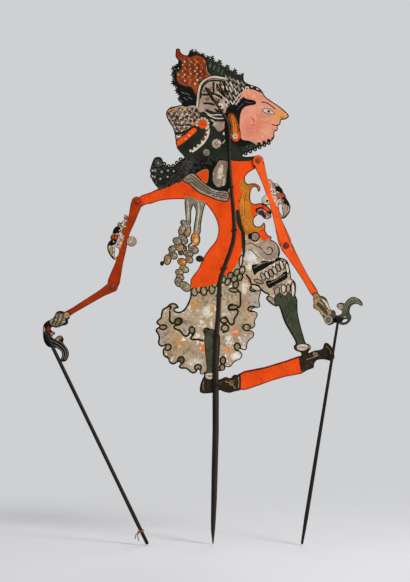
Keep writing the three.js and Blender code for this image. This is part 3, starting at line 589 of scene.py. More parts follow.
# %% From the drawing to the painted sheet
def holds(outline, spot):
    """Whether the outline goes round the spot."""
    turns = 0
    for a, b in zip(outline, outline[1:] + outline[:1]):
        side = (b.x - a.x) * (spot.y - a.y) - (spot.x - a.x) * (b.y - a.y)
        if a.y <= spot.y < b.y and side > 0:
            turns += 1
        elif b.y <= spot.y < a.y and side < 0:
            turns -= 1
    return turns != 0


MERGE_WITHIN = 1e-5


def painted_sheet(name, drawing, node, ground):
    """The sheet of one node as an object, painted with the drawing over its ground colour."""
    depths = [corner.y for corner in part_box(node)]
    outlines = [*drawing.outer, *drawing.cuts, *[points for points, _ in drawing.shapes]]
    first_cut = len(drawing.outer)
    first_shape = first_cut + len(drawing.cuts)
    spots, faces = [], []
    for outline in outlines:
        faces.append(list(range(len(spots), len(spots) + len(outline))))
        spots.extend(Vector(p) for p in outline)
    plan, _, triangles, _, _, sources = geometry.delaunay_2d_cdt(spots, [], faces, 0, MERGE_WITHIN)
    kept, colours = [], []
    for triangle, source in zip(triangles, sources):
        if not source or min(source) >= first_cut or any(first_cut <= s < first_shape for s in source):
            continue
        middle = (plan[triangle[0]] + plan[triangle[1]] + plan[triangle[2]]) / 3
        over = [s - first_shape for s in source if s >= first_shape]
        top = next((s for s in sorted(over, reverse=True) if holds(drawing.shapes[s][0], middle)), None)
        kept.append(list(triangle))
        colours.append(ground if top is None else drawing.shapes[top][1])
    used = sorted({v for triangle in kept for v in triangle})
    order = {v: i for i, v in enumerate(used)}
    count = len(used)
    points = [(plan[v].x * MM, depth, plan[v].y * MM) for depth in depths for v in used]
    front_faces = [tuple(order[v] for v in triangle) for triangle in kept]
    border = dict.fromkeys(edge for a, b, c in front_faces for edge in ((a, b), (b, c), (c, a)))
    back_faces = [(c + count, b + count, a + count) for a, b, c in front_faces]
    walls = [(b, a, a + count, b + count) for a, b in border if (b, a) not in border]
    mesh = bpy.data.meshes.new(name)
    mesh.from_pydata(points, [], front_faces + back_faces + walls)
    slots = sorted({*colours, "edge"}, key=PAINT_NAMES.index)
    for colour in slots:
        mesh.materials.append(PAINTS[colour])
    index = [slots.index(colour) for colour in colours]
    index = index + index + [slots.index("edge")] * len(walls)
    mesh.polygons.foreach_set("material_index", index)
    mesh.update()
    outlines, cuts = len(drawing.shapes), len(drawing.cuts)
    print(f"{name}: {outlines} painted outlines, {cuts} cuts, {len(mesh.polygons)} faces")
    return add_object(name, mesh)


# %% [markdown]
# The figure is painted from the ground up, as the painter does: first the whole sheet in stained cream, then
# the folds of the cloth, then the large colours, and last the lines and ornaments over them.

# %% The ground of the skirt
figure = Drawing(outline_loops("figure_hide"))

# %% [markdown]
# Skirt cloth is drawn as ruffles: dark lines that wander in and out, with small filled loops at their turns.
# Each loop is an oval, given by its middle, its half sizes, its lean and its paint.

# %% The skirt's folds
SKIRT_LINES = [
    [(-65, 350), (-64.5, 341), (-65, 334.5), (-60, 330), (-55.5, 335), (-52.5, 338), (-48, 337),
     (-46.5, 332), (-51, 328), (-57, 327), (-58, 323), (-49.5, 319), (-45, 313.5), (-40.5, 311), (-36, 314),
     (-35, 322), (-32, 325), (-28, 322.5), (-28, 317), (-31.5, 311), (-33, 308), (-31, 306), (-22.5, 306),
     (-13.5, 304)],
    [(-69, 355.5), (-63, 355), (-65, 350)],
    [(36, 379), (40.5, 377), (41, 368), (41, 358), (38, 354), (34, 355.5), (28.5, 358.5), (24, 357),
     (23, 353), (25.5, 350), (33, 351), (37.5, 349), (36, 343), (32, 337), (31.5, 331), (28, 328), (24, 331),
     (21, 337), (18, 340), (13.5, 335)],
    [(12, 331), (19.5, 328.5), (23, 324), (21, 319), (13.5, 316)],
    [(58, 386), (55, 396), (49, 404)],
]
for line in SKIRT_LINES:
    figure.line(line, "ink", 2.9)
SKIRT_LOOPS = [
    (-75, 324.5, 5.6, 3.4, 0, "ruffle"), (-68, 294.5, 5.2, 4.6, 20, "olive"),
    (-48, 275, 5.5, 4.8, 70, "moss"), (-22.5, 264, 5, 4.6, 0, "olive"), (61, 382.5, 5.6, 4.4, 10, "ruffle"),
    (58.5, 351.8, 6.2, 3.8, 0, "ruffle"), (50.5, 324, 5.8, 4.6, -10, "ruffle"),
    (36.5, 295, 4.6, 5.6, 10, "olive"), (15, 274.5, 4, 5.5, 0, "ruffle"), (14, 264, 4, 5, 0, "olive"),
    (-31.5, 320, 4.2, 5, 0, "olive"), (-9, 318, 4.5, 5, 0, "moss"), (31, 380, 6.4, 3, -8, "olive"),
    (30.5, 354.3, 7, 3.2, 4, "olive"), (16.5, 334.5, 5, 4, 0, "ruffle"), (18, 323, 5.5, 5, 0, "olive"),
]
for *loop, name in SKIRT_LOOPS:
    figure.fold(*loop, name=name, width=2.6)
figure.fold(-52.5, 333, 5, 5, 0, "moss", width=2.7)
TONGUES = [(-27.7, 378, 4, 6), (-21.7, 381.7, 3, 5), (-13.8, 378.7, 4.2, 6), (-6.7, 384.7, 3.5, 5),
           (-1.5, 381.7, 4, 6.5), (2.2, 390, 4, 5)]
for x, z, half_width, half_height in TONGUES:
    figure.fold(x, z, half_height + 0.6, half_width + 0.6, 90, "olive", width=2.2)

# %% [markdown]
# The two strings of ruffles that hang behind the body are ribbons folded again and again. Each fold is an
# oval of its own, with a dark curl and a pale one in it.

# %% The hanging ruffles and their straps
RUFFLE_FOLDS = [
    (-38.5, 470.5, 11, 6, 90, "tan"), (-46.5, 470.5, 8.8, 5.4, 65, "ruffle"),
    (-45, 481.5, 4.3, 4.3, 0, "silver"), (-45.7, 440, 9, 5.8, 55, "moss"),
    (-44.7, 456.5, 9.2, 6.2, -50, "silver"), (-51, 445.6, 8.8, 6.8, -50, "tan"),
    (-53.6, 453.6, 7.6, 5.8, -20, "ruffle"), (-59.8, 432.4, 7.8, 6, -40, "ruffle"),
    (-61.2, 441.8, 6.4, 5.6, 20, "silver"), (-68.2, 425.8, 8.4, 6, 85, "tan"),
    (-26.4, 456.5, 11, 7.6, 90, "gold"), (-29.2, 440.6, 8.6, 6.4, -25, "silver"),
    (-37, 434.4, 8.4, 5.4, -15, "ruffle"), (-35.4, 425.8, 6.6, 5.6, -40, "tan"),
    (-46.4, 422.6, 7.6, 5.8, -15, "gold"), (-43.2, 411.8, 8.2, 5.6, -30, "olive"),
    (-50.4, 406.6, 6.8, 5.6, -15, "tan"), (-49.4, 399, 6.8, 5.4, -15, "olive"),
    (-51.6, 391.8, 8, 6.2, -60, "ruffle"), (-41.6, 385.4, 10, 6.8, -40, "olive"),
]
figure.shape([(-84, 490), (-84, 376), (-34.5, 376), (-34.5, 396), (-22, 420), (-19, 462), (-33, 490)],
             "moss")
for x, z, half_length, half_width, lean, name in RUFFLE_FOLDS:
    figure.fold(x, z, half_length - 0.5, half_width - 0.5, lean, name, "ink", 1.3)
    figure.curl((x - 0.25 * half_length, z), half_width * 0.5, 1.2, lean + 40, "ink", 0.8)
    figure.curl((x + 0.3 * half_length, z - 0.2 * half_width), half_width * 0.45, 0.6, lean, "pale", 0.7)
figure.oval(-31.5, 448, 4.6, 1.3, 28, "pale")
figure.oval(-25.5, 455, 3.6, 3, 60, "pale")
figure.dot((-77, 420), 4, "brown")

# %% [markdown]
# The bare body is one orange red, with a darker line along parts of its edge.

# %% The body, shoulder and neck
RED_BODY = [
    (-130, 536), (-100, 532), (-72, 548), (-50, 552), (-34, 541), (-28, 532), (-15, 524), (7, 515),
    (21, 514), (25, 540), (24, 578), (50, 596), (90, 592), (90, 560), (62, 546), (56, 536), (51, 525),
    (60, 480), (46, 465), (44, 444), (40, 430), (33, 414), (23, 404), (12, 398), (6, 391), (-2, 387.5),
    (-14, 385), (-31, 384), (-39, 394), (-36, 404), (-28, 420), (-18, 436), (-8, 448), (0, 458), (4, 470),
    (3, 480), (-1, 490), (-8, 500), (-14, 508), (-22, 513), (-40, 513), (-66, 512), (-92, 504), (-112, 492),
    (-132, 498),
]
figure.fill(RED_BODY, "red")
figure.oval(-20, 427.2, 7, 6, 0, "green")
figure.fill([(-45, 517), (-28, 518), (-30, 506), (-31, 486), (-33, 474), (-42, 474), (-45, 486)], "silver")
figure.fill([(-31, 515), (-20, 515.5), (-11, 511), (-12, 496), (-16, 478), (-18, 466), (-31, 466),
             (-31, 482), (-28, 497)], "silver")
figure.line([(-38, 514), (-37, 500), (-38, 484)], "pale", 1.6)
figure.line([(-22, 511), (-21, 497), (-23, 484), (-25, 469)], "pale", 1.8)
for x, z, half_length, half_width, lean, name in (
        (42, 424, 8.5, 2.6, 82, "pale"), (34, 388.5, 5.4, 4.2, 75, "ruffle"),
        (22, 392.5, 5.4, 3.8, 65, "blush"), (32, 397, 5.4, 4.2, 55, "olive"),
        (40.5, 399.5, 5.2, 4, 70, "ruffle"), (26, 402, 5.2, 4, 60, "ruffle"),
        (35.5, 406.5, 5.6, 4, 65, "olive"), (43.8, 410, 6, 4.2, 80, "silver"),
        (16, 396, 5, 3.2, 75, "olive")):
    figure.fold(x, z, half_length, half_width, lean, name, width=2.2)

# %% [markdown]
# Hair is lamp black, worn to a sooty tone behind the neck, where it winds in ringlets. The cutter opens the
# middle of the larger ringlets and of those at the edge, which stand out from the hide.

# %% The hair and neck
BLACK_HAIR = [
    (-100, 582), (-78, 588), (-60, 582), (-42, 584), (-30, 592), (10, 592), (27, 600), (54, 604), (54, 585),
    (36, 577), (25, 572), (23, 528), (3, 530), (-7, 536), (-15, 541), (-21, 548), (-28, 554), (-33, 556),
    (-39, 552), (-45, 545), (-52, 542), (-72, 533), (-90, 530), (-101, 545),
]
figure.fill(BLACK_HAIR, "black")
WORN_HAIR = [(-97, 584), (-70, 584), (-68, 568), (-54, 566), (-44, 574), (-30, 572), (-36, 557), (-47, 545),
             (-72, 534), (-90, 532), (-100, 545)]
figure.fill(WORN_HAIR, "soot")
figure.scrolls(WORN_HAIR, 6.2, 2.9, "black", 4, 1.4)
figure.scrolls([(-46, 561), (-40, 580), (-4, 589), (24, 590), (10, 576), (-6, 566), (-26, 557), (-42, 553)],
               6.6, 2.8,
               "soot", 9, 1.1)
for x, z, radius in ((-82.5, 571, 7.4), (-87.5, 559.5, 4.6), (-88, 550, 4.2), (-77, 557.5, 4),
                     (-79, 547, 3.8), (-67.5, 559.5, 3.6), (-68, 550, 3.4), (-59, 558.5, 3.4)):
    figure.ring((x, z), radius, "black", 1.7, "soot")
    figure.curl((x, z), radius * 0.62, 1.3, 30 * x, "grey", 0.8)
    figure.cut(circle((x, z), 0.9, 8), False)
for x, z, radius in ((-91, 559.5, 3.4), (-91, 551, 3), (-73, 569.5, 2.6), (-66.5, 566, 2.6),
                     (-60, 566.5, 2.6), (-54, 571, 2.8), (-48.5, 576, 2.8)):
    figure.ringlet((x, z), radius, "soot")
figure.fill([(-25, 554), (-8, 561), (-9, 541), (-17, 545)], "red", "tan", 0.9)
PENDANT = [(9, 575), (21, 574), (23, 568), (21, 553), (19.5, 539), (13.5, 535), (6, 534), (0, 541),
           (-1.5, 550), (0, 560), (4.5, 568)]
figure.fill(PENDANT, "woven", "black", 1.8)
figure.fill([(10, 566), (15, 567), (14, 554), (12, 547), (8.5, 548), (7, 555)], "pale")
for line in ([(5, 562), (12, 565), (19, 562)], [(4, 551), (11, 554), (18, 551)]):
    figure.line(line, "tan", 1.3)

# %% [markdown]
# The collar lies over the chest as a twisted band: wavy dark stripes run along it.

# %% The collar
COLLAR = [(-46, 545), (-39, 552), (-33, 555.5), (-27, 554), (-21, 548.5), (-15, 541.5), (-7.5, 536.5),
          (3, 530.5), (23, 527.5), (22, 513.5), (7.5, 515), (-4.5, 519.5), (-15, 523.5), (-22.5, 527.5),
          (-28.5, 532), (-34.5, 538.5)]
COLLAR_STRIPES = [
    [(-41, 548), (-33, 552), (-26, 547), (-19, 541), (-10, 534), (2, 527.5), (22, 524.5)],
    [(-39, 545.5), (-33, 548), (-27, 543), (-20, 537), (-11, 530.5), (0, 524.5), (22, 521)],
    [(-36, 542), (-30, 541), (-25, 537), (-17, 531), (-8, 526), (2, 521), (22, 517.5)],
]
figure.fill(COLLAR, "woven", "ink", 1.6)
for stripe in COLLAR_STRIPES:
    figure.line(stripe, "ink", 0.9)

# %% [markdown]
# A golden sash falls from the shoulder with a hooked end, and a dark green one lies beside it on the rod.

# %% The sashes
figure.fill([(34.5, 500), (40, 499), (41.5, 490), (44, 481), (47, 472), (52, 466), (48, 463), (49, 450),
             (47.5, 432), (45, 431), (43, 447), (42, 466), (38, 475), (35, 485)], "green")
figure.fill([(40, 542), (56, 547), (80, 543), (80, 524), (64, 520), (58.5, 519), (59, 505), (60, 494),
             (62, 486), (70, 484), (80, 484), (83, 470), (66, 463), (50, 463), (43, 482), (39.7, 500),
             (39.7, 514), (43, 522)], "gold")
figure.line([(45, 530), (42.2, 520), (39.4, 512), (39.6, 500), (43, 482), (46.5, 473), (51, 467.5)], "rust",
            1.0)
figure.line([(50, 528), (47, 514), (47, 498), (51, 482), (58, 472)], "rust", 1.0)
figure.line([(57, 538), (63, 538), (68, 534)], "rust", 0.9)
figure.fill([(57.2, 513), (64, 514), (76, 513), (86, 508), (93, 496), (88, 487), (80, 496), (74, 499),
             (66, 497), (62, 488), (58.5, 492), (56.8, 502)], "red")
figure.fill([(64, 502), (74, 505), (79, 499.5), (91, 496), (92, 484), (76, 483), (69, 490), (66, 494)],
            "green")
figure.fill([(76, 497), (84, 494.5), (90, 494), (91, 487), (83, 484.5), (77, 486), (79.5, 491)], "silver")
figure.fill([(73, 473), (77, 474), (81, 468), (85, 464), (92, 462), (90, 450), (76, 453), (69, 463)], "red")
figure.line([(66, 467), (72, 468), (78, 472), (78.5, 478)], "rust", 0.9)

# %% [markdown]
# At the hip the cloth is knotted: a small ringed disc, a large coiled one, two black bands, and gathered
# folds between them and below.

# %% The hip cloth
figure.ring((63, 460.2), 6.4, "ink", 2.2, "blush")
figure.oval(55.5, 460.8, 3.2, 4.8, 0, "black")
figure.curl((64.5, 460), 3.4, 1.2, 200, "ink", 0.8)
figure.oval(84, 441, 16.4, 15.6, 0, "blush")
figure.line([(88.5, 456), (94, 451.5), (98, 445), (98.6, 437), (97, 430.5)], "brown", 1.2)
figure.line([(75.3, 438.5), (79, 434.5), (84, 433), (88.2, 435.8), (89, 441), (86, 444.5), (82, 443.5),
             (81, 440.5)],
            "brown", 1.5)
figure.line([(73, 450), (80, 452.5), (87, 451), (92, 446), (93, 439.5)], "tan", 1.2)
for line in ([(50, 449), (57, 450.5), (66, 445.5), (72, 443), (75.5, 439.5)],
             [(52.5, 441.7), (58.5, 438.7), (64.5, 432.7), (69.7, 427.5)]):
    figure.line(line, "ink", 1.2)
figure.fill([(58.5, 417.7), (70.5, 419.2), (73.5, 423.7), (85.5, 423.7), (91.5, 425.2), (99, 430.5),
             (103, 427), (94.5, 422.2), (85.5, 417.7), (76.5, 411.7), (67.5, 407.2), (63, 402.7),
             (60, 407.2)], "black")
figure.fill([(79.5, 393.7), (88.5, 395.2), (99, 399.7), (108, 408.7), (111.7, 402.7), (111, 397.8),
             (102, 392.2), (93, 387.7), (85.5, 382.8), (81, 386.2)], "black")
BAND_FOLDS = [(75, 400.5, 6, 3, -68), (81, 402.5, 6.2, 3, -68), (87, 405.5, 6.4, 3, -66),
              (92.5, 409.5, 6.4, 3, -64), (97.5, 413.5, 6.2, 3, -62), (103, 417.5, 7.4, 2.8, -72),
              (107.8, 419.5, 7.4, 2.8, -78), (111.6, 412.5, 8, 2.6, -80), (68.5, 393, 7.4, 2.6, -20),
              (64.5, 384, 7.6, 4.4, -25), (96, 378.5, 6.4, 4, 85), (105.8, 382.5, 6.6, 3.6, 88),
              (113, 382, 6.8, 3, 90), (119, 386, 7, 2.6, 80)]
for k, loop in enumerate(BAND_FOLDS):
    figure.fold(*loop, name="pale" if k % 2 else "blush", width=1.7)
figure.line([(90, 379), (92, 386), (100, 388), (104, 392)], "ink", 1.2)
figure.line([(57, 389), (66, 387), (73.5, 380.5), (79.5, 374)], "ink", 2.2)
figure.fold(88.5, 364.5, 9.8, 3.6, -38, "blush", "ink", 1.4)

# %% [markdown]
# Legs and feet are plain and dark, with a pale ring at the ankle; the feet stand on one orange strip.

# %% The legs, feet and base strip
figure.fill([(-12, 316), (8, 316), (9, 282), (6, 254), (5, 246), (-14, 246), (-13, 256), (-9, 264)],
            "leg_green",
            "black", 1.4)
figure.fill([(92, 366), (96, 372.7), (100.5, 375.7), (108, 371.2), (114, 377.2), (117, 372.7), (126, 366),
             (131, 346), (136, 326), (141, 308), (145, 300), (128, 290), (117, 300), (110, 316), (102, 334),
             (96, 350)], "leg_green", "black", 1.4)
figure.fold(120, 381, 11, 2.8, 90, "pale", "green", 1.6)
figure.fill([(30, 260), (78, 272), (112, 281), (136, 286), (143, 256), (108, 243), (84, 237), (34, 224)],
            "red")
figure.fill([(-24, 256), (-12, 252), (0, 251), (9, 247), (17, 248), (24, 249), (30, 250), (35, 258),
             (41, 258), (40, 226), (20, 220), (0, 220), (-26, 220)], "brown")
figure.fill([(130, 288), (152, 294), (166, 305), (174, 306), (187, 292), (187, 272), (168, 270), (156, 269),
             (152, 259), (134, 255)], "brown")
figure.curl((13, 251), 4.2, 1.4, 60, "blush", 1.1)
figure.curl((154, 284), 4.2, 1.5, 100, "blush", 1.2)
figure.curl((28, 240), 5, 1.3, 20, "tan", 0.9)
for foot in ([(170, 296), (175, 291), (177, 284)], [(-14, 244), (-15, 236), (-14, 230)],
             [(18, 243), (27, 240), (34, 232)], [(140, 276), (150, 279), (160, 283)],
             [(38, 250), (39, 241), (38, 233)]):
    figure.line(foot, "tan", 0.9)
for x, z, size in ((134, 294, 8.5), (-5, 251, 6.5)):
    figure.fill([(x - size, z + 2), (x - size * 0.4, z + 5), (x + size * 0.8, z + 4.5), (x + size, z - 1),
                 (x + size * 0.3, z - 5), (x - size * 0.8, z - 3.5)], "pale", "brown", 1.1)
    for share, name in ((-0.55, "rose"), (0, "brown"), (0.55, "rose")):
        figure.curl((x + size * share, z), 2.4, 1.2, 200 * share, name, 0.9)

# %% [markdown]
# The headdress is the richest part: a dotted bun, a dark feathered crest, and bands of scrolls with a rim.

# %% The bun and the crest
figure.fill([(-76, 650), (-78, 700), (-64, 738), (-44, 744), (-20, 744), (8, 736), (34, 722), (56, 706),
             (60, 696), (84, 680), (70, 668), (48, 664), (20, 660), (-24, 648), (-44, 652)], "black")
figure.fill([(-9, 738), (3, 736), (20, 728), (44, 716), (52, 700), (30, 698), (13, 700), (0, 702), (-6, 708),
             (-8, 716)], "green")
BUN = [(-34.5, 730), (-25.5, 733), (-18, 731), (-12, 727), (-10, 721), (-9, 713), (-6, 706), (0, 699.7),
       (-10.5, 698), (-15, 695), (-19.5, 692), (-21, 685), (-23, 677), (-24.7, 670), (-30, 680),
       (-34.5, 684.7), (-42, 685.5), (-49.5, 688.5), (-54, 693.7), (-55.5, 701), (-54, 707), (-49.5, 711),
       (-46.5, 718), (-48, 723), (-53, 728), (-57, 735), (-58, 743), (-52.5, 746), (-47, 743), (-46, 737),
       (-42, 733)]
figure.fill(BUN, "rust", "ink", 1.8)
CREST_HAIRS = [(6, 732), (12, 728), (18, 725), (24, 721), (30, 718), (36, 714), (42, 710), (-2, 728),
               (4, 724), (10, 720), (16, 717), (22, 713), (28, 710), (34, 706), (-4, 718), (2, 714),
               (8, 711), (14, 707)]
figure.strokes(CREST_HAIRS, 4.2, 0.8, 70, "sage")
figure.strokes([(-58, 712), (-61, 704), (-60, 695), (-61, 686), (-58, 677), (-52, 672), (-45, 676),
                (-38, 674), (-34, 668), (-41, 667), (-48, 664)], 4.0, 0.8, 150, "sage")
figure.fill([(-54, 740), (-49, 737), (-42, 731), (-46, 727), (-54, 732)], "deep_red")
chance = random.Random(12)
for row in range(10):
    for column in range(12):
        x = -56 + 4.5 * column + 2.2 * (row % 2) + chance.uniform(-1, 1)
        z = 686 + 4.5 * row + chance.uniform(-1, 1)
        if (x + 31) ** 2 / 23 ** 2 + (z - 708) ** 2 / 22.5 ** 2 < 0.9:
            if (row + column) % 2:
                figure.dot((x, z), chance.uniform(0.9, 1.5), chance.choice(("pale", "blush", "gold")), 8)
            else:
                figure.curl((x, z), 2.3, chance.choice((-1.0, 1.0)), chance.uniform(0, 360), "brown", 1.0)
figure.line([(-50, 694), (-42, 691), (-33, 691), (-24, 695)], "deep_red", 1.4)
figure.line([(-24, 728), (-16, 722), (-14, 712), (-10, 704)], "deep_red", 1.4)

# %% The panels behind the rim
RIM = [(22.5, 696), (13.5, 698.2), (0, 699.7), (-10.5, 696), (-18, 689.2), (-21, 680), (-22.5, 668),
       (-24, 653)]
figure.fill([(24, 696), (12, 698), (0, 698), (-11, 694), (-18, 687), (-21, 676), (-22, 664), (-22, 650),
             (14, 640), (26, 650), (26, 680)], "blush")
figure.line(RIM, "ink", 5.6)
figure.line(RIM, "pale", 2.9)
figure.line([(22.5, 690.7), (13.5, 693.7), (0, 694.5), (-9, 692), (-15, 686), (-18, 678.7), (-18.6, 667)],
            "ink", 2.6)
PANEL_LINES = [
    [(0.7, 693), (0.8, 683), (0.7, 674)], [(-18, 673.5), (-10, 673.2), (-1.5, 673.5)],
    [(-12, 684.7), (-5, 673), (1.5, 663.7), (13.5, 659)], [(-15, 660), (-6, 660), (3, 657.7)],
    [(1, 673), (9, 672), (15, 675)], [(9, 690), (12, 683), (15, 675), (12, 668)],
    [(17, 692), (18, 682), (16, 672)], [(16, 672), (22, 668), (24, 660)], [(-9, 645), (-2, 642), (6, 640)],
    [(2, 652), (10, 646), (18, 640)], [(-12, 650), (-4, 648), (4, 645)],
    [(-11, 684), (-2, 675.5), (5, 673), (12.5, 670)], [(-3.5, 675), (0, 666), (4.5, 660.5)],
    [(5, 690), (9, 680), (17, 672)], [(8, 664), (16, 672), (22, 682)], [(18, 660), (24, 667), (30, 677)],
    [(13, 694), (19, 686), (23, 676)],
]
for line in PANEL_LINES:
    figure.line(line, "ink", 3.2)
for centre, radius, turns in (((8, 682), 4, 1.3), ((-9, 667), 3.6, -1.3), ((-13, 679), 3, 1.3),
                              ((-5, 682), 3, -1.2), ((7, 665), 3.4, 1.2)):
    figure.curl(centre, radius, turns, 90, "brown", 1.3)
    figure.dot(centre, 0.9, "rose")
figure.flower((11.2, 655.5), 5.2, 7, "pale", "ink")

# %% The dark front of the headdress, with its leaves
figure.fill([(20, 697), (34, 702), (50, 700), (66, 690), (84, 678), (70, 664), (50, 668), (40, 652),
             (28, 642), (20, 648), (23, 664), (20, 680)], "green")
for row in range(6):
    for column in range(5):
        x = 21 + 6 * column + chance.uniform(-1.2, 1.2)
        z = 699 - 2.4 * column - 8.6 * row + chance.uniform(-1.2, 1.2)
        if row * 2 + column < 11:
            half_length, half_width = chance.uniform(4, 6.4), chance.uniform(0.7, 1.3)
            lean, name = -60 + chance.uniform(-12, 12), chance.choice(("silver", "blush", "pale"))
            figure.strokes([(x, z)], half_length, half_width, lean, name)
            half_length, lean = chance.uniform(2.6, 4.6), 50 + chance.uniform(-14, 14)
            figure.strokes([(x + 3, z - 1)], half_length, 0.7, lean,
                           chance.choice(("silver", "sage", "blush")))
figure.strokes([(12, 690), (17, 686), (14, 680), (19, 676), (9, 668)], 4.6, 1.1, -58, "ink")
for line in ([(31, 652), (37, 663), (46, 674)], [(28, 655), (34, 666), (43, 677)],
             [(1, 673), (10, 667), (19, 659)], [(5, 678), (14, 671), (23, 663)]):
    figure.line(line, "pale", 1.2)
figure.ring((51, 682.5), 3.9, "black", 1.6, "pale")
figure.dot((51, 682.5), 1.5, "ink")
for x, z, radius in ((58.5, 686.2, 3.0), (67.5, 682.5, 3.0), (73.5, 678.7, 2.6), (78, 674.2, 2.3)):
    figure.ring((x, z), radius, "black", 1.6, "pale")
    figure.dot((x, z), 0.8, "black")

# %% [markdown]
# Behind the ear hangs a cluster of curled leaves over a dark ground, with flowers and a red band below.

# %% The ear ornament and the back of the head
figure.fill([(-64, 594), (-42, 580), (-33, 578), (9, 577), (27, 578), (27, 640), (12, 646), (-5, 648),
             (-20, 646), (-28, 632), (-44, 616)], "green")
figure.fill([(-76, 646), (-68, 660), (-55, 661), (-42, 655), (-30, 657), (-18, 650), (-22, 638), (-25, 630),
             (-36, 621), (-48, 612), (-62, 606), (-68, 624), (-74, 634)], "blush")
LACE = [(-76, 646), (-66, 659), (-42, 654), (-30, 656), (-19, 649), (-24, 630), (-36, 620), (-60, 606),
        (-67, 626)]
figure.scrolls(LACE, 6.4, 2.9, "ink", 21, 1.5, turns=1.5)
figure.scrolls(LACE, 7.4, 1.3, "pale", 22, 1.3, turns=0.9)
for x, z in ((-59, 650), (-49, 646), (-40, 633), (-30, 643), (-52, 632), (-33, 650), (-44, 622), (-58, 618)):
    figure.dot((x, z), 1.3, "rose", 8)
for x, z in ((-60, 651), (-29, 629), (-45, 649)):
    figure.oval(x, z, 3.0, 2.0, 30, "gold")
for x, z, lean in ((-40, 640, 60), (-54, 640, 120), (-47, 627, 20), (-26, 650, 80), (-36, 628, 150)):
    figure.oval(x, z, 3.4, 1.5, lean, "green")
figure.line([(-60, 617), (-50, 615), (-38, 619), (-30, 626)], "ink", 3.4)
figure.line([(-58, 612), (-48, 610), (-39, 614)], "pale", 1.8)
figure.fill([(-62, 592), (-54, 605), (-43, 613), (-29, 624), (-24, 619), (-35, 608), (-48, 598)], "red",
            "ink", 1.2)
for x, z, name in ((-51, 601, "gold"), (-46, 605, "gold"), (-41, 607, "pale"), (-36, 612, "pale"),
                   (-31, 618, "gold")):
    figure.dot((x, z), 1.4, name)
FLOWER = Vector((-15.5, 629))
for k in range(9):
    turn = math.radians(-50 + 30 * k)
    figure.dot(FLOWER + Vector((math.cos(turn), math.sin(turn))) * 8.6, 2.0, "pale", 8)
figure.flower(FLOWER, 6.4, 7, "red", "deep_red")
figure.dot(FLOWER, 1.2, "gold")
BAND = [(-6, 623), (-7, 615), (-9.5, 608), (-14.5, 601), (-20.5, 595.5), (-26, 591), (-32, 587.5)]
figure.line(BAND, "pale", 3.0)
for x, z in BAND:
    figure.dot((x - 1.8, z + 1.6), 1.9, "pale", 8)
figure.line([(-11, 619), (-13, 611), (-18, 604)], "rust", 1.2)
figure.fill([(0.9, 630.5), (6, 633), (12.3, 632.6), (21.6, 632.6), (18, 624), (10.2, 618), (4.5, 622)],
            "blush")
figure.dot((16.6, 614.8), 2.3, "pale")
for centre, size, name in (((5.2, 599.8), 6.6, "blush"), ((-9.8, 586.5), 4.8, "silver")):
    figure.flower(centre, size, 8, name, "ink")
    figure.dot(centre, size * 0.16, "pale", 8)
for line in ([(-9, 643.5), (4, 638), (16.6, 637.6)], [(-12, 648), (-4, 643), (8, 643), (18, 642)],
             [(-4, 636), (2, 632), (0, 626)], [(14, 600), (19, 606), (21, 614)]):
    figure.line(line, "pale", 1.5)

# %% [markdown]
# The face is a calm design of its own: one plain eye under a single brow, and short red lines for the rest.
# The beard under it is a green band with one row of painted rings and one of ringlets.

# %% The face
figure.fill([(20, 652), (44, 652), (50, 610), (62, 600), (62, 590), (22, 590)], "black")
figure.fill([(44, 678), (58, 681), (72, 676), (84, 672), (124, 650), (124, 600), (92, 596), (70, 600),
             (56, 604), (42, 608), (40, 632), (42, 650)], "pink")
figure.fill([(45, 669.7), (51, 666.7), (60, 665.2), (64.5, 662.2), (63, 658.5), (55.5, 657), (48, 654.7),
             (43.5, 650.2), (40.5, 644.2), (31.5, 644.2), (30, 650.2), (36, 657.7), (40.5, 663.7)], "black")
figure.line([(47, 664), (54, 661), (60, 661.5)], "grey", 0.6)
figure.line([(36, 650), (41, 656), (46, 660)], "grey", 0.6)
figure.fill([(99, 620), (93, 610), (86, 604), (76, 599.5), (66, 598), (55, 598), (42, 596), (26, 600),
             (24, 576), (56, 574), (68, 580), (82, 588), (96, 596), (103, 608)], "green")
for x, z in ((90, 607), (83.5, 604.5), (76.5, 601.5), (69, 599.5), (61.5, 597.5), (54, 595), (47, 592)):
    figure.ring((x, z), 2.3, "soot", 1.0, "black")
for x, z in ((83.5, 600.8), (77, 597.6), (70, 594.4), (63, 591.2), (56, 588), (49, 585)):
    figure.ringlet((x, z), 2.6, "black")
figure.fill([(24, 645), (31, 645), (36, 637), (39.8, 622), (41, 610), (37.5, 603), (30, 603), (26, 612),
             (27, 626), (22, 638)], "rust", "ink", 1.2)
figure.fill([(27, 641), (31, 641), (34, 632), (36, 620), (35, 614), (30, 614), (30, 626)], "gold")
figure.line([(29, 640), (32, 630), (33, 618)], "deep_red", 0.9)
figure.fill([(30, 606), (37, 604), (40.5, 611), (38.5, 618), (35, 612)], "red")
figure.flower((33, 611), 3.9, 6, "pale", "sage")
figure.line([(72, 662), (80, 661), (88, 656), (94, 651)], "ink", 1.6)
figure.fill([(74, 650), (80, 653), (87, 650), (92, 645), (85, 644), (78, 646)], "pale", "ink", 1.0)
figure.dot((83.5, 648.2), 2.1, "black", 16)
# The tiny pale dot in the pupil is a painted highlight.
figure.dot((84.2, 649), 0.6, "pale")
figure.line([(100, 640), (104, 638), (107, 640)], "deep_red", 1.0)
figure.line([(88, 629), (94, 627), (99, 628.5)], "deep_red", 1.8)
figure.line([(87, 622), (91, 620), (94, 621)], "deep_red", 0.9)
figure.line([(56, 640), (62, 634), (60, 626)], "deep_red", 0.8)

# %% [markdown]
# The last line is the sheet's own edge: brown black round the cloth and the head, deep red round the body.
# Fine nibs stand out along the crest. One row of slots is punched in the coiled disc and one beside the bun.

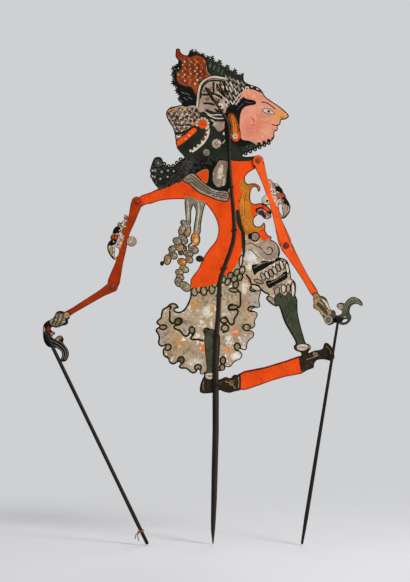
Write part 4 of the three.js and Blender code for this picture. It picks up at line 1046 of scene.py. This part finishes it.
# %% Edge lines, nibs and punched slots
SKIRT_EDGES = [((-33, 390), (-16, 262)), ((12, 262), (57, 388))]
EDGE_LINE, SKIRT_EDGE_LINE, RED_EDGE_LINE = 3.2, 5.2, 2.6
figure.rim_lines("ink", EDGE_LINE)
for start, end in SKIRT_EDGES:
    figure.edge(start, end, "ink", SKIRT_EDGE_LINE)
RED_EDGES = [((-88, 529.5), (-43, 515)), ((-11, 510), (-17, 434)), ((-17, 421), (-34, 394)),
             ((49, 549), (68, 583)), ((42, 231), (134, 259)), ((132, 280), (38, 253)),
             ((87, 461), (79, 466)), ((88, 496), (69, 501))]
for start, end in RED_EDGES:
    figure.edge(start, end, "deep_red", RED_EDGE_LINE)
figure.edge((57, 531), (52, 539.5), "rust", 3.0)
figure.fringe((44, 704), (-34, 739), 3.4, 2.6, "black", -0.5)
figure.fringe((-53, 719), (-52, 668), 3.6, 2.4, "black", 0.4)
for row in ([(90, 452), (95, 446), (95.5, 438)], [(-10, 716), (-9, 708), (-4, 702)]):
    figure.cut_row(row)

hide = painted_sheet("painted_figure", figure, "figure_hide", "cream")
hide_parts("figure_hide")
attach(hide, "figure")

# %% [markdown]
# Each arm is drawn by the same marks. Its places come from the joints in the frame: the shoulder and the
# elbow from their hinges, and the palm from the hinge of the rod's thread.

# %% Places on the arms
JOINT = {joint["name"]: Vector(joint["pos_m"]) / MM for joint in frame["joints"]}


def flat(point):
    return Vector((point.x, point.z))


def beside(a, b, s, v):
    """The point at distance s from a towards b, and v to the left of that way, in mm."""
    along = (b - a).normalized()
    return a + along * s + Vector((-along.y, along.x)) * v


# %% [markdown]
# The armbands carry a round boss on the inner side, and curls, flowers and two dark wings on the outer side.
# Everything on them is given from the middle of the band.

# %% The upper arms
BANDS = {
    "rear": {
        "boss": (8, -3.3, 8), "boss_paint": "blush",
        "spots": [((6.5, -4), 2.0, "pale"), ((7.2, 1.2), 1.1, "leg_green")],
        "ground": [(6, 12), (1, -8), (-3, -20), (-12, -33), (-24, -33), (-33, -14), (-28, 2), (-24, 16),
                   (-14, 29), (-4, 34), (-2, 42), (6, 38), (7, 26)],
        "curls": [((0.4, 31), 3.4), ((0.4, 22.2), 3.2), ((-8.6, 20), 3.6)],
        "ovals": [(-1.8, 12.4, 6, 4.4, 70, "rust"), (-14.5, 13.2, 6.4, 5, 40, "black"),
                  (-10, 13.2, 1.4, 1.2, 0, "pale"), (-13.8, 8, 3, 1.1, 10, "pale"),
                  (-17.5, 2.7, 5.6, 4, 20, "deep_red"), (-20.2, -4.8, 6.6, 4, 30, "black"),
                  (-18.6, -3.6, 1.6, 1.4, 0, "pale"), (-22.4, -18, 7.4, 2.2, 84, "tan"),
                  (-7.6, -20, 9, 2.2, 62, "pale")],
        "dots": [(-19.5, 3.5), (-16, 1.8), (-15, 4.6)],
        "tail": [(-24, -6), (-27, -10), (-26.4, -17), (-23, -24), (-17, -29.6)],
    },
    "front": {
        "boss": (-6, -1.9, 7.5), "boss_paint": "pale", "spots": [((-5.2, -3.2), 1.9, "ink")],
        "ground": [(-8, 18), (-8, 27), (-4, 32), (4, 31), (14, 25), (22, 14), (30, 0), (34, -14), (28, -30),
                   (16, -33), (7, -26), (3, -12), (-1, 2)],
        "curls": [((-3, 22), 3.0), ((6, 19.7), 4.0)],
        "ovals": [(9, 14.8, 1.8, 1.6, 0, "pale"), (12.8, 13.2, 6.6, 4.4, -40, "black"),
                  (18, 9.5, 1.8, 1.5, 0, "leg_green"), (11.3, 9.6, 4.6, 1.2, -20, "pale"),
                  (15, 4.2, 6.6, 4.6, -10, "rose"), (22.5, -4, 8, 3, -55, "black"),
                  (18.8, -2.5, 1.7, 1.5, 0, "blush"), (18, -5.8, 1.5, 1.3, 0, "rose"),
                  (22.6, -17, 9, 2.8, 82, "blush"), (10.4, -17, 8, 2.0, -64, "gold")],
        "dots": [(13, 5.6), (17.4, 3), (15, 1.8)],
        "tail": [(27.4, -9), (29, -14), (27.4, -20), (24, -25.4), (17, -28.8)],
    },
}


def from_middle(middle, point):
    """The place that lies so far across and up from a middle."""
    return (middle.x + point[0], middle.y + point[1])


def boss(drawing, band, middle, inner):
    """The round boss of a band, whose inner ring has the given share of its radius."""
    x, z, radius = band["boss"]
    centre = from_middle(middle, (x, z))
    drawing.ring(centre, radius - 0.3, "ink", 1.4, band["boss_paint"])
    drawing.ring(centre, radius * inner, "tan", 0.7, band["boss_paint"])
    for point, size, name in band["spots"]:
        drawing.dot(from_middle(middle, point), size, name)


def armband(drawing, band, middle):
    """The ornament round the upper arm, with a darker line along every part."""
    def at(point):
        return from_middle(middle, point)

    ground = [at(p) for p in band["ground"]]
    drawing.fill(ground, "pale")
    drawing.scrolls(ground, 5.6, 2.0, "rose", 5)
    drawing.scrolls(ground, 7.3, 2.6, "ink", 6)
    for centre, size in band["curls"]:
        drawing.curl(at(centre), size, 1.5, 60, "ink", 1.0)
        drawing.dot(at(centre), 1.0, "leg_green")
    for x, z, half_length, half_width, lean, name in band["ovals"]:
        drawing.fold(middle.x + x, middle.y + z, half_length, half_width, lean, name, "ink", 0.7)
    for point in band["dots"]:
        drawing.dot(at(point), 0.9, "gold")
    drawing.line([at(p) for p in band["tail"]], "ink", 2.0)
    boss(drawing, band, middle, 0.55)


def upper_arm(side, colour, band_distance):
    """One upper arm; the boss of the rear one lies over the arm."""
    node = f"{side}_upper_arm"
    shoulder, elbow = flat(JOINT[f"{side}_shoulder"]), flat(JOINT[f"{side}_elbow"])
    drawing = Drawing(outline_loops(node))
    length = (elbow - shoulder).length
    middle = beside(shoulder, elbow, band_distance, 0)
    armband(drawing, BANDS[side], middle)
    strip = [(-14, 9), (-14, -9), (28, -6.5), (56, -3.6), (88, -6), (length + 14, -10), (length + 14, 10),
             (88, 6), (56, 3.6), (28, 6.5)]
    drawing.fill([beside(shoulder, elbow, s, v) for s, v in strip], colour)
    if side == "rear":
        boss(drawing, BANDS[side], middle, 0.5)
    drawing.rim_lines("ink", 1.6)
    for edge in (-1, 1):
        for s0, s1 in ((2, 30), (92, length - 2)):
            places = ((s0, 6.8), ((s0 + s1) / 2, 6.4), (s1, 7))
            drawing.line([beside(shoulder, elbow, s, edge * v) for s, v in places], "deep_red", 0.9)
    for place in (shoulder, elbow):
        drawing.dot(place, 8.3, colour, 20)
        drawing.ring(place, 4.4, "deep_red", 0.9, colour)
    piece = painted_sheet(f"painted_{node}", drawing, node, colour)
    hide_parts(node)
    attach(piece, node)


# The rear arm wears the darker red as painted shade, the front arm the brighter red as painted light.
ARM_PAINTS = {"rear": "arm_red", "front": "bright_red"}
BAND_DISTANCES = {"rear": 58, "front": 60}
for side, colour in ARM_PAINTS.items():
    upper_arm(side, colour, BAND_DISTANCES[side])

# %% [markdown]
# The forearm runs into a bracelet and a dark hand whose long fingers curl back, with pale lines along them.
# Everything on a hand is given from the hole in its palm.

# %% The forearms and hands
HANDS = {
    "rear": {
        "hand": "black", "wrist": (30.5, 27),
        "ovals": [(17, 20, 13, 9.4, 24, "ruffle"), (13.5, 14, 4.6, 3.2, 40, "olive"),
                  (24.7, 16.8, 4.8, 2.6, 15, "olive"), (30.5, 27, 5.4, 4.6, 40, "tan"),
                  (14, 25, 5, 2.6, 20, "silver"), (3, 3, 3.0, 8.4, 0, "deep_red"),
                  (-3.4, 5, 2.2, 4.6, 0, "blush"), (2, -3, 2.2, 6, 10, "rust"),
                  (8.6, -0.6, 3.2, 2.6, 0, "blush"), (19, -7.4, 4.8, 2.8, 20, "blush")],
        "dots": [((17.4, -7.8), 0.8), ((20.4, -6.8), 0.8)],
        "stripes": [[(8, 13), (12, 20), (14, 30)], [(12, 11), (17, 19), (20, 31)],
                    [(18, 11), (23, 19), (26, 30)]],
        "fingers": [[(0, -8), (6, -14.5), (14, -18.5), (22, -24.5), (26, -31), (23.6, -40)],
                    [(2, -5), (9, -11.5), (17, -15.5), (25, -21.5), (29, -30), (26.4, -40.5)],
                    [(5, -3), (12, -9.5), (20, -12), (28, -19.5), (31.6, -29), (29, -40)]],
    },
    "front": {
        "hand": "leg_green", "wrist": (-33, 32),
        "ovals": [(-33, 32, 8, 5.4, -55, "tan"), (-23, 18, 17, 11, -48, "tan"),
                  (-23.5, 15.5, 12, 2.4, -50, "leg_green"), (-17, 21, 12, 3.0, -50, "pale"),
                  (-15, -1.6, 6.6, 7, 0, "blush"), (-15, -1.6, 3.6, 4, 0, "sage"),
                  (0, -1.2, 7.5, 4, 0, "black"), (3, 18.3, 4.6, 4.4, 0, "blush"),
                  (10, 3, 2.6, 1.1, 10, "pale")],
        "dots": [((0.8, 18.9), 0.8), ((5.2, 18.9), 0.8)],
        "stripes": [[(-33, 22), (-28, 18), (-24, 12)], [(-28, 29), (-22, 24), (-17, 14)]],
        "fingers": [[(8.5, 8.5), (10, 16), (14, 24), (20, 28.5), (28, 27.5), (34.5, 22)],
                    [(12, 9), (12.5, 16), (17, 22.5), (23, 25.5), (30, 24), (35.5, 20.5)],
                    [(6, 8), (7, 15), (9.5, 21.5), (16, 29.4), (24, 31), (31, 28)]],
    },
}


def forearm(side, colour):
    """One forearm with its hand."""
    node = f"{side}_forearm"
    elbow, palm = flat(JOINT[f"{side}_elbow"]), flat(JOINT[f"{side}_rod_swing"])
    hand = HANDS[side]
    drawing = Drawing(outline_loops(node))

    def at(point):
        return from_middle(palm, point)

    wrist = Vector(at(hand["wrist"]))
    reach = (wrist - elbow).length
    beyond = ((-1, -18), (-1, 18), (100, 90), (100, -90))
    drawing.shape([beside(wrist, palm, s, v) for s, v in beyond], hand["hand"])
    for x, z, half_length, half_width, lean, name in hand["ovals"]:
        drawing.fold(palm.x + x, palm.y + z, half_length, half_width, lean, name, "ink", 0.9)
    for stripe in hand["stripes"]:
        drawing.line([at(p) for p in stripe], "black", 2.4)
    for finger in hand["fingers"]:
        drawing.line([at(p) for p in finger], "silver", 0.8)
    for point, size in hand["dots"]:
        drawing.dot(at(point), size, "ink")
    drawing.rim_lines("ink", 1.8)
    for edge in (-1, 1):
        places = ((2, 7.6), (reach * 0.4, 6.6), (reach - 7, 5))
        drawing.line([beside(elbow, wrist, s, edge * v) for s, v in places], "deep_red", 1.2)
    drawing.line([beside(elbow, wrist, reach - 6, v) for v in (-6, 0, 6)], "ink", 1.2)
    drawing.dot(elbow, 8, colour, 20)
    drawing.ring(elbow, 4.6, "deep_red", 0.9, colour)
    piece = painted_sheet(f"painted_{node}", drawing, node, colour)
    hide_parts(node)
    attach(piece, node)


for side, colour in ARM_PAINTS.items():
    forearm(side, colour)

# %% [markdown]
# Horn is dark, dense and polished by the hand. Its fibres run along the rod, and its right side is painted a
# lighter brown as painted light from the key lamp. The hand rods are turned wood under black lacquer. The pins
# are bone stained dark red, and the washers are scraps of plain hide.

# %% Finishes of the rods, pins and washers
FIBRE_CLOUD_SIZE = 18 * MM


def fibre(name, dark, pale, roughness, across, along, right=None):
    """A fibrous material with streaks up the piece; right is the painted light on its right side, if it has one.
    """
    material, tree = new_material(name)
    where = add_node(tree, "ShaderNodeTexCoord").outputs["Object"]
    stretched = add_node(tree, "ShaderNodeMapping", {"Vector": where, "Scale": (1, 1, across / along)})
    streak = add_node(tree, "ShaderNodeTexNoise", {
        "Vector": stretched.outputs["Vector"], "Scale": 1 / across, "Detail": 4.0,
        "Roughness": 0.6}).outputs["Fac"]
    cloud = add_node(tree, "ShaderNodeTexNoise", {
        "Vector": where, "Scale": 1 / FIBRE_CLOUD_SIZE, "Detail": 3.0, "Roughness": 0.55})
    both = add_node(tree, "ShaderNodeMath", {0: streak, 1: cloud.outputs["Fac"]}, operation="MULTIPLY")
    paleness = add_node(tree, "ShaderNodeMapRange", {
        "Value": both.outputs[0], "From Min": 0.2, "From Max": 0.4})
    tone = add_node(tree, "ShaderNodeMix", {
        0: paleness.outputs["Result"], 6: linear(dark), 7: linear(pale)}, data_type="RGBA").outputs[2]
    if right:
        side = add_node(tree, "ShaderNodeAttribute", attribute_name="across")
        wandering = add_node(tree, "ShaderNodeMath", {
            0: streak, 1: 0.9, 2: side.outputs["Fac"]}, operation="MULTIPLY_ADD")
        lit_side_share = add_node(tree, "ShaderNodeMapRange", {
            "Value": wandering.outputs[0], "From Min": 0.35, "From Max": 0.95, "To Max": 0.9})
        tone = add_node(tree, "ShaderNodeMix", {
            0: lit_side_share.outputs["Result"], 6: tone, 7: linear(right)}, data_type="RGBA").outputs[2]
    rough = add_node(tree, "ShaderNodeMapRange", {
        "Value": streak, "To Min": roughness - 0.08, "To Max": roughness + 0.12})
    close_material(tree, tone, rough.outputs["Result"], streak, 0.3, 0.1 * MM, 0.22)
    return material


# The horn's right side carries a lighter brown: painted light, as from the key lamp on the right.
HORN = fibre("polished_dark_horn", "#0d0905", "#21170e", 0.5, 1.1 * MM, 28 * MM, right="#35230f")
LACQUER = fibre("black_lacquered_wood", "#090907", "#1c150e", 0.5, 0.8 * MM, 22 * MM)
BONE = fibre("red_stained_bone", "#5c2110", "#8e3f22", 0.45, 0.5 * MM, 3 * MM)
WASHER_HIDE = fibre("reddened_hide_washer", "#5e2713", "#8d4a24", 0.75, 0.9 * MM, 2 * MM)
THREAD = fibre("waxed_cotton_thread", "#1f1a15", "#4a3d30", 0.8, 0.25 * MM, 0.6 * MM)
TAG_THREAD = fibre("brown_cotton_thread", "#6a4526", "#a0713f", 0.85, 0.3 * MM, 0.7 * MM)
SHARP_ANGLE = math.radians(38)
MERGE_DISTANCE = 0.02 * MM


def smooth_copy(node, name, material):
    """A merged copy of a frame node, shaded smooth except at its true edges."""
    body = bmesh.new()
    body.from_mesh(frame["nodes"][node].data)
    bmesh.ops.remove_doubles(body, verts=body.verts, dist=MERGE_DISTANCE)
    for edge in body.edges:
        edge.smooth = len(edge.link_faces) != 2 or edge.calc_face_angle() < SHARP_ANGLE
    for face in body.faces:
        face.smooth = True
        face.material_index = 0
    mesh = bpy.data.meshes.new(name)
    body.to_mesh(mesh)
    body.free()
    mesh.materials.append(material)
    return add_object(name, mesh)


def mark_sides(piece):
    """Stores each point's place across the rod, from -1 at its left edge to 1 at its right."""
    rows = {}
    for vertex in piece.data.vertices:
        rows.setdefault(round(vertex.co.z / MM), []).append(vertex.co.x)
    side = piece.data.attributes.new("across", "FLOAT", "POINT")
    for vertex in piece.data.vertices:
        row = rows[round(vertex.co.z / MM)]
        half = max((max(row) - min(row)) / 2, 0.1 * MM)
        side.data[vertex.index].value = (vertex.co.x - (max(row) + min(row)) / 2) / half


SLOT_OF = {entry["node"]: entry["material_slot"] for entry in frame["record"]["subparts"]}
BODY_OF = {node: body for body, nodes in frame["record"]["behaviour"]["bodies"].items() for node in nodes}
FINISH = {"horn": HORN, "rod_wood": LACQUER, "bone": BONE, "leather": WASHER_HIDE, "thread": THREAD}
TIES = sorted(node for node in SLOT_OF if node.startswith("rod_tie_"))
for node, slot in SLOT_OF.items():
    if slot in FINISH and node not in TIES:
        finish = TAG_THREAD if node == "rear_rod_tag_string" else FINISH[slot]
        piece = smooth_copy(node, f"finished_{node}", finish)
        if node == "main_rod":
            mark_sides(piece)
        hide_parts(node)
        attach(piece, BODY_OF[node])

# %% [markdown]
# Thread windings and rows of raised paint repeat along a path, so a node tree makes them. The path is a
# chain of edges. One tree sweeps a round thread along it; the other sets a flat bead at every step, each a
# little different in size.

# %% Trees for threads and beads
def new_tree(name, numbers):
    """An empty geometry tree with a path, a material and the named numbers as its inputs."""
    tree = bpy.data.node_groups.new(name, "GeometryNodeTree")
    tree.interface.new_socket("Path", in_out="INPUT", socket_type="NodeSocketGeometry")
    sockets = {}
    for label, kind in [*((label, "NodeSocketFloat") for label in numbers),
                        ("Material", "NodeSocketMaterial")]:
        sockets[label] = tree.interface.new_socket(label, in_out="INPUT", socket_type=kind).identifier
    tree.interface.new_socket("Geometry", in_out="OUTPUT", socket_type="NodeSocketGeometry")
    start = add_node(tree, "NodeGroupInput")
    curve = add_node(tree, "GeometryNodeMeshToCurve", {"Mesh": start.outputs["Path"]})
    return tree, sockets, start, curve


def end_tree(tree, start, shape):
    smooth = add_node(tree, "GeometryNodeSetShadeSmooth", {0: shape})
    real = add_node(tree, "GeometryNodeRealizeInstances", {0: smooth.outputs[0]})
    dressed = add_node(tree, "GeometryNodeSetMaterial",
                       {0: real.outputs[0], "Material": start.outputs["Material"]})
    add_node(tree, "NodeGroupOutput", {0: dressed.outputs[0]})


def thread_tree():
    tree, sockets, start, curve = new_tree("thread_along_path", ["Radius"])
    section = add_node(tree, "GeometryNodeCurvePrimitiveCircle", {
        "Resolution": 8, "Radius": start.outputs["Radius"]})
    swept = add_node(tree, "GeometryNodeCurveToMesh", {
        "Curve": curve.outputs[0], "Profile Curve": section.outputs[0], "Fill Caps": True})
    end_tree(tree, start, swept.outputs[0])
    return tree, sockets


def bead_tree(seed):
    tree, sockets, start, curve = new_tree("beads_along_path", ["Pitch", "Radius", "Height"])
    steps = add_node(tree, "GeometryNodeResampleCurve", {
        "Curve": curve.outputs[0], "Length": start.outputs["Pitch"]}, mode="LENGTH")
    ball = add_node(tree, "GeometryNodeMeshIcoSphere", {"Radius": 1.0, "Subdivisions": 2})
    size = add_node(tree, "FunctionNodeRandomValue", {2: 0.8, 3: 1.15, "Seed": seed}, data_type="FLOAT")
    wide = add_node(tree, "ShaderNodeMath", {
        0: size.outputs[1], 1: start.outputs["Radius"]}, operation="MULTIPLY").outputs[0]
    scale = add_node(tree, "ShaderNodeCombineXYZ", {"X": wide, "Y": start.outputs["Height"], "Z": wide})
    beads = add_node(tree, "GeometryNodeInstanceOnPoints", {
        "Points": steps.outputs[0], "Instance": ball.outputs[0], "Scale": scale.outputs[0]})
    end_tree(tree, start, beads.outputs[0])
    return tree, sockets


def grown(name, paths, tree_and_sockets, material, **numbers):
    """The plain mesh that a tree grows along the paths, each a list of points in metres."""
    tree, sockets = tree_and_sockets
    points, edges = [], []
    for path in paths:
        edges.extend((len(points) + k, len(points) + k + 1) for k in range(len(path) - 1))
        points.extend(path)
    mesh = bpy.data.meshes.new(f"{name}_path")
    mesh.from_pydata(points, edges, [])
    source = add_object(f"{name}_path", mesh)
    modifier = source.modifiers.new("grow", "NODES")
    modifier.node_group = tree
    for label, value in {**numbers, "Material": material}.items():
        modifier[sockets[label]] = value
    bpy.context.view_layer.update()
    result = bpy.data.meshes.new_from_object(source.evaluated_get(bpy.context.evaluated_depsgraph_get()))
    source.modifiers.remove(modifier)
    bpy.data.objects.remove(source)
    bpy.data.meshes.remove(mesh)
    result.name = name
    print(f"{name}: {len(paths)} paths, {len(result.polygons)} faces")
    return add_object(name, result)


# %% The bindings of the rod
WINDING_RADIUS = 0.34 * MM
WINDING_SIDES = 28
WINDING_ROUNDNESS = 0.35


def winding(node):
    """A path that winds up the place of a binding, as a rounded rectangle that climbs."""
    low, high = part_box(node)
    middle = (low + high) / 2
    half = (high - low) / 2 - Vector((1, 1, 1)) * WINDING_RADIUS
    steps = max(1, int(half.z / WINDING_RADIUS)) * WINDING_SIDES
    path = []
    for k in range(steps + 1):
        turn = 2 * math.pi * k / WINDING_SIDES
        across, deep = (math.copysign(abs(value) ** WINDING_ROUNDNESS, value) for value in (math.cos(turn),
                                                                                            math.sin(turn)))
        path.append(middle + Vector((half.x * across, half.y * deep, half.z * (2 * k / steps - 1))))
    return path


bindings = grown("wound_rod_bindings", [winding(node) for node in TIES], thread_tree(), THREAD,
                 Radius=WINDING_RADIUS)
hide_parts(*TIES)
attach(bindings, "figure")

# %% [markdown]
# Raised beads of thick paint are set on the front only. On the arms they stay lower than the gap in which
# one sheet slides over the other.

# %% Raised beads of paint
BEADS = bead_tree(7)
FIGURE_BEADS = [
    [(-40, 549.5), (-32, 553), (-25, 549.5), (-17, 542), (-9, 536), (3, 529.5), (20, 526.5)],
    [(-33, 539), (-27, 534), (-18, 528), (-7, 523), (4, 518.5), (20, 516)],
    [(-38, 514), (-37, 500), (-38, 484)], [(-22, 511), (-21, 497), (-23, 484), (-25, 469)],
    [(22, 696.5), (13, 698.5), (0, 699.5), (-10.5, 695.8), (-18, 689), (-21, 680), (-22.3, 668),
     (-23.5, 655)],
    [(11, 570), (15, 560), (11, 548), (10, 539)],
    [(57, 447), (66, 443), (73, 438)], [(62, 414), (76, 421), (92, 424)], [(84, 390), (96, 396), (107, 403)],
    [(46, 512), (46, 498), (50, 484), (57, 474)],
]
BEAD_CLEARANCE = 1.6


def on_sheet(drawing, spot):
    """Whether a spot lies on the hide and clear of its edges."""
    inside = sum(1 if area(rim) > 0 else -1 for rim in drawing.rims if holds(rim, spot)) > 0
    return inside and all((p - spot).length > BEAD_CLEARANCE for rim in drawing.rims for p in rim)


def at_depth(path, depth, drawing=None):
    """A smooth path in metres at one depth, kept on the drawing's hide if a drawing is given."""
    return [(p.x * MM, depth, p.y * MM) for p in through(path, False) if drawing is None or on_sheet(drawing,
                                                                                                     p)]


figure_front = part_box("figure_hide")[0].y
rows = [at_depth(path, figure_front, figure) for path in FIGURE_BEADS]
beads = grown("raised_paint_beads", rows, BEADS, PAINTS["pale"], Pitch=3.1 * MM, Radius=0.75 * MM,
              Height=0.32 * MM)
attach(beads, "figure")
for side in ("rear", "front"):
    palm = flat(JOINT[f"{side}_rod_swing"])
    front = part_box(f"{side}_forearm")[0].y
    rows = [at_depth([palm + Vector(p) for p in row], front) for row in HANDS[side]["stripes"]]
    bracelet = grown(f"{side}_bracelet_beads", rows, BEADS, PAINTS["olive"], Pitch=2.4 * MM, Radius=0.6 * MM,
                     Height=0.2 * MM)
    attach(bracelet, f"{side}_forearm")
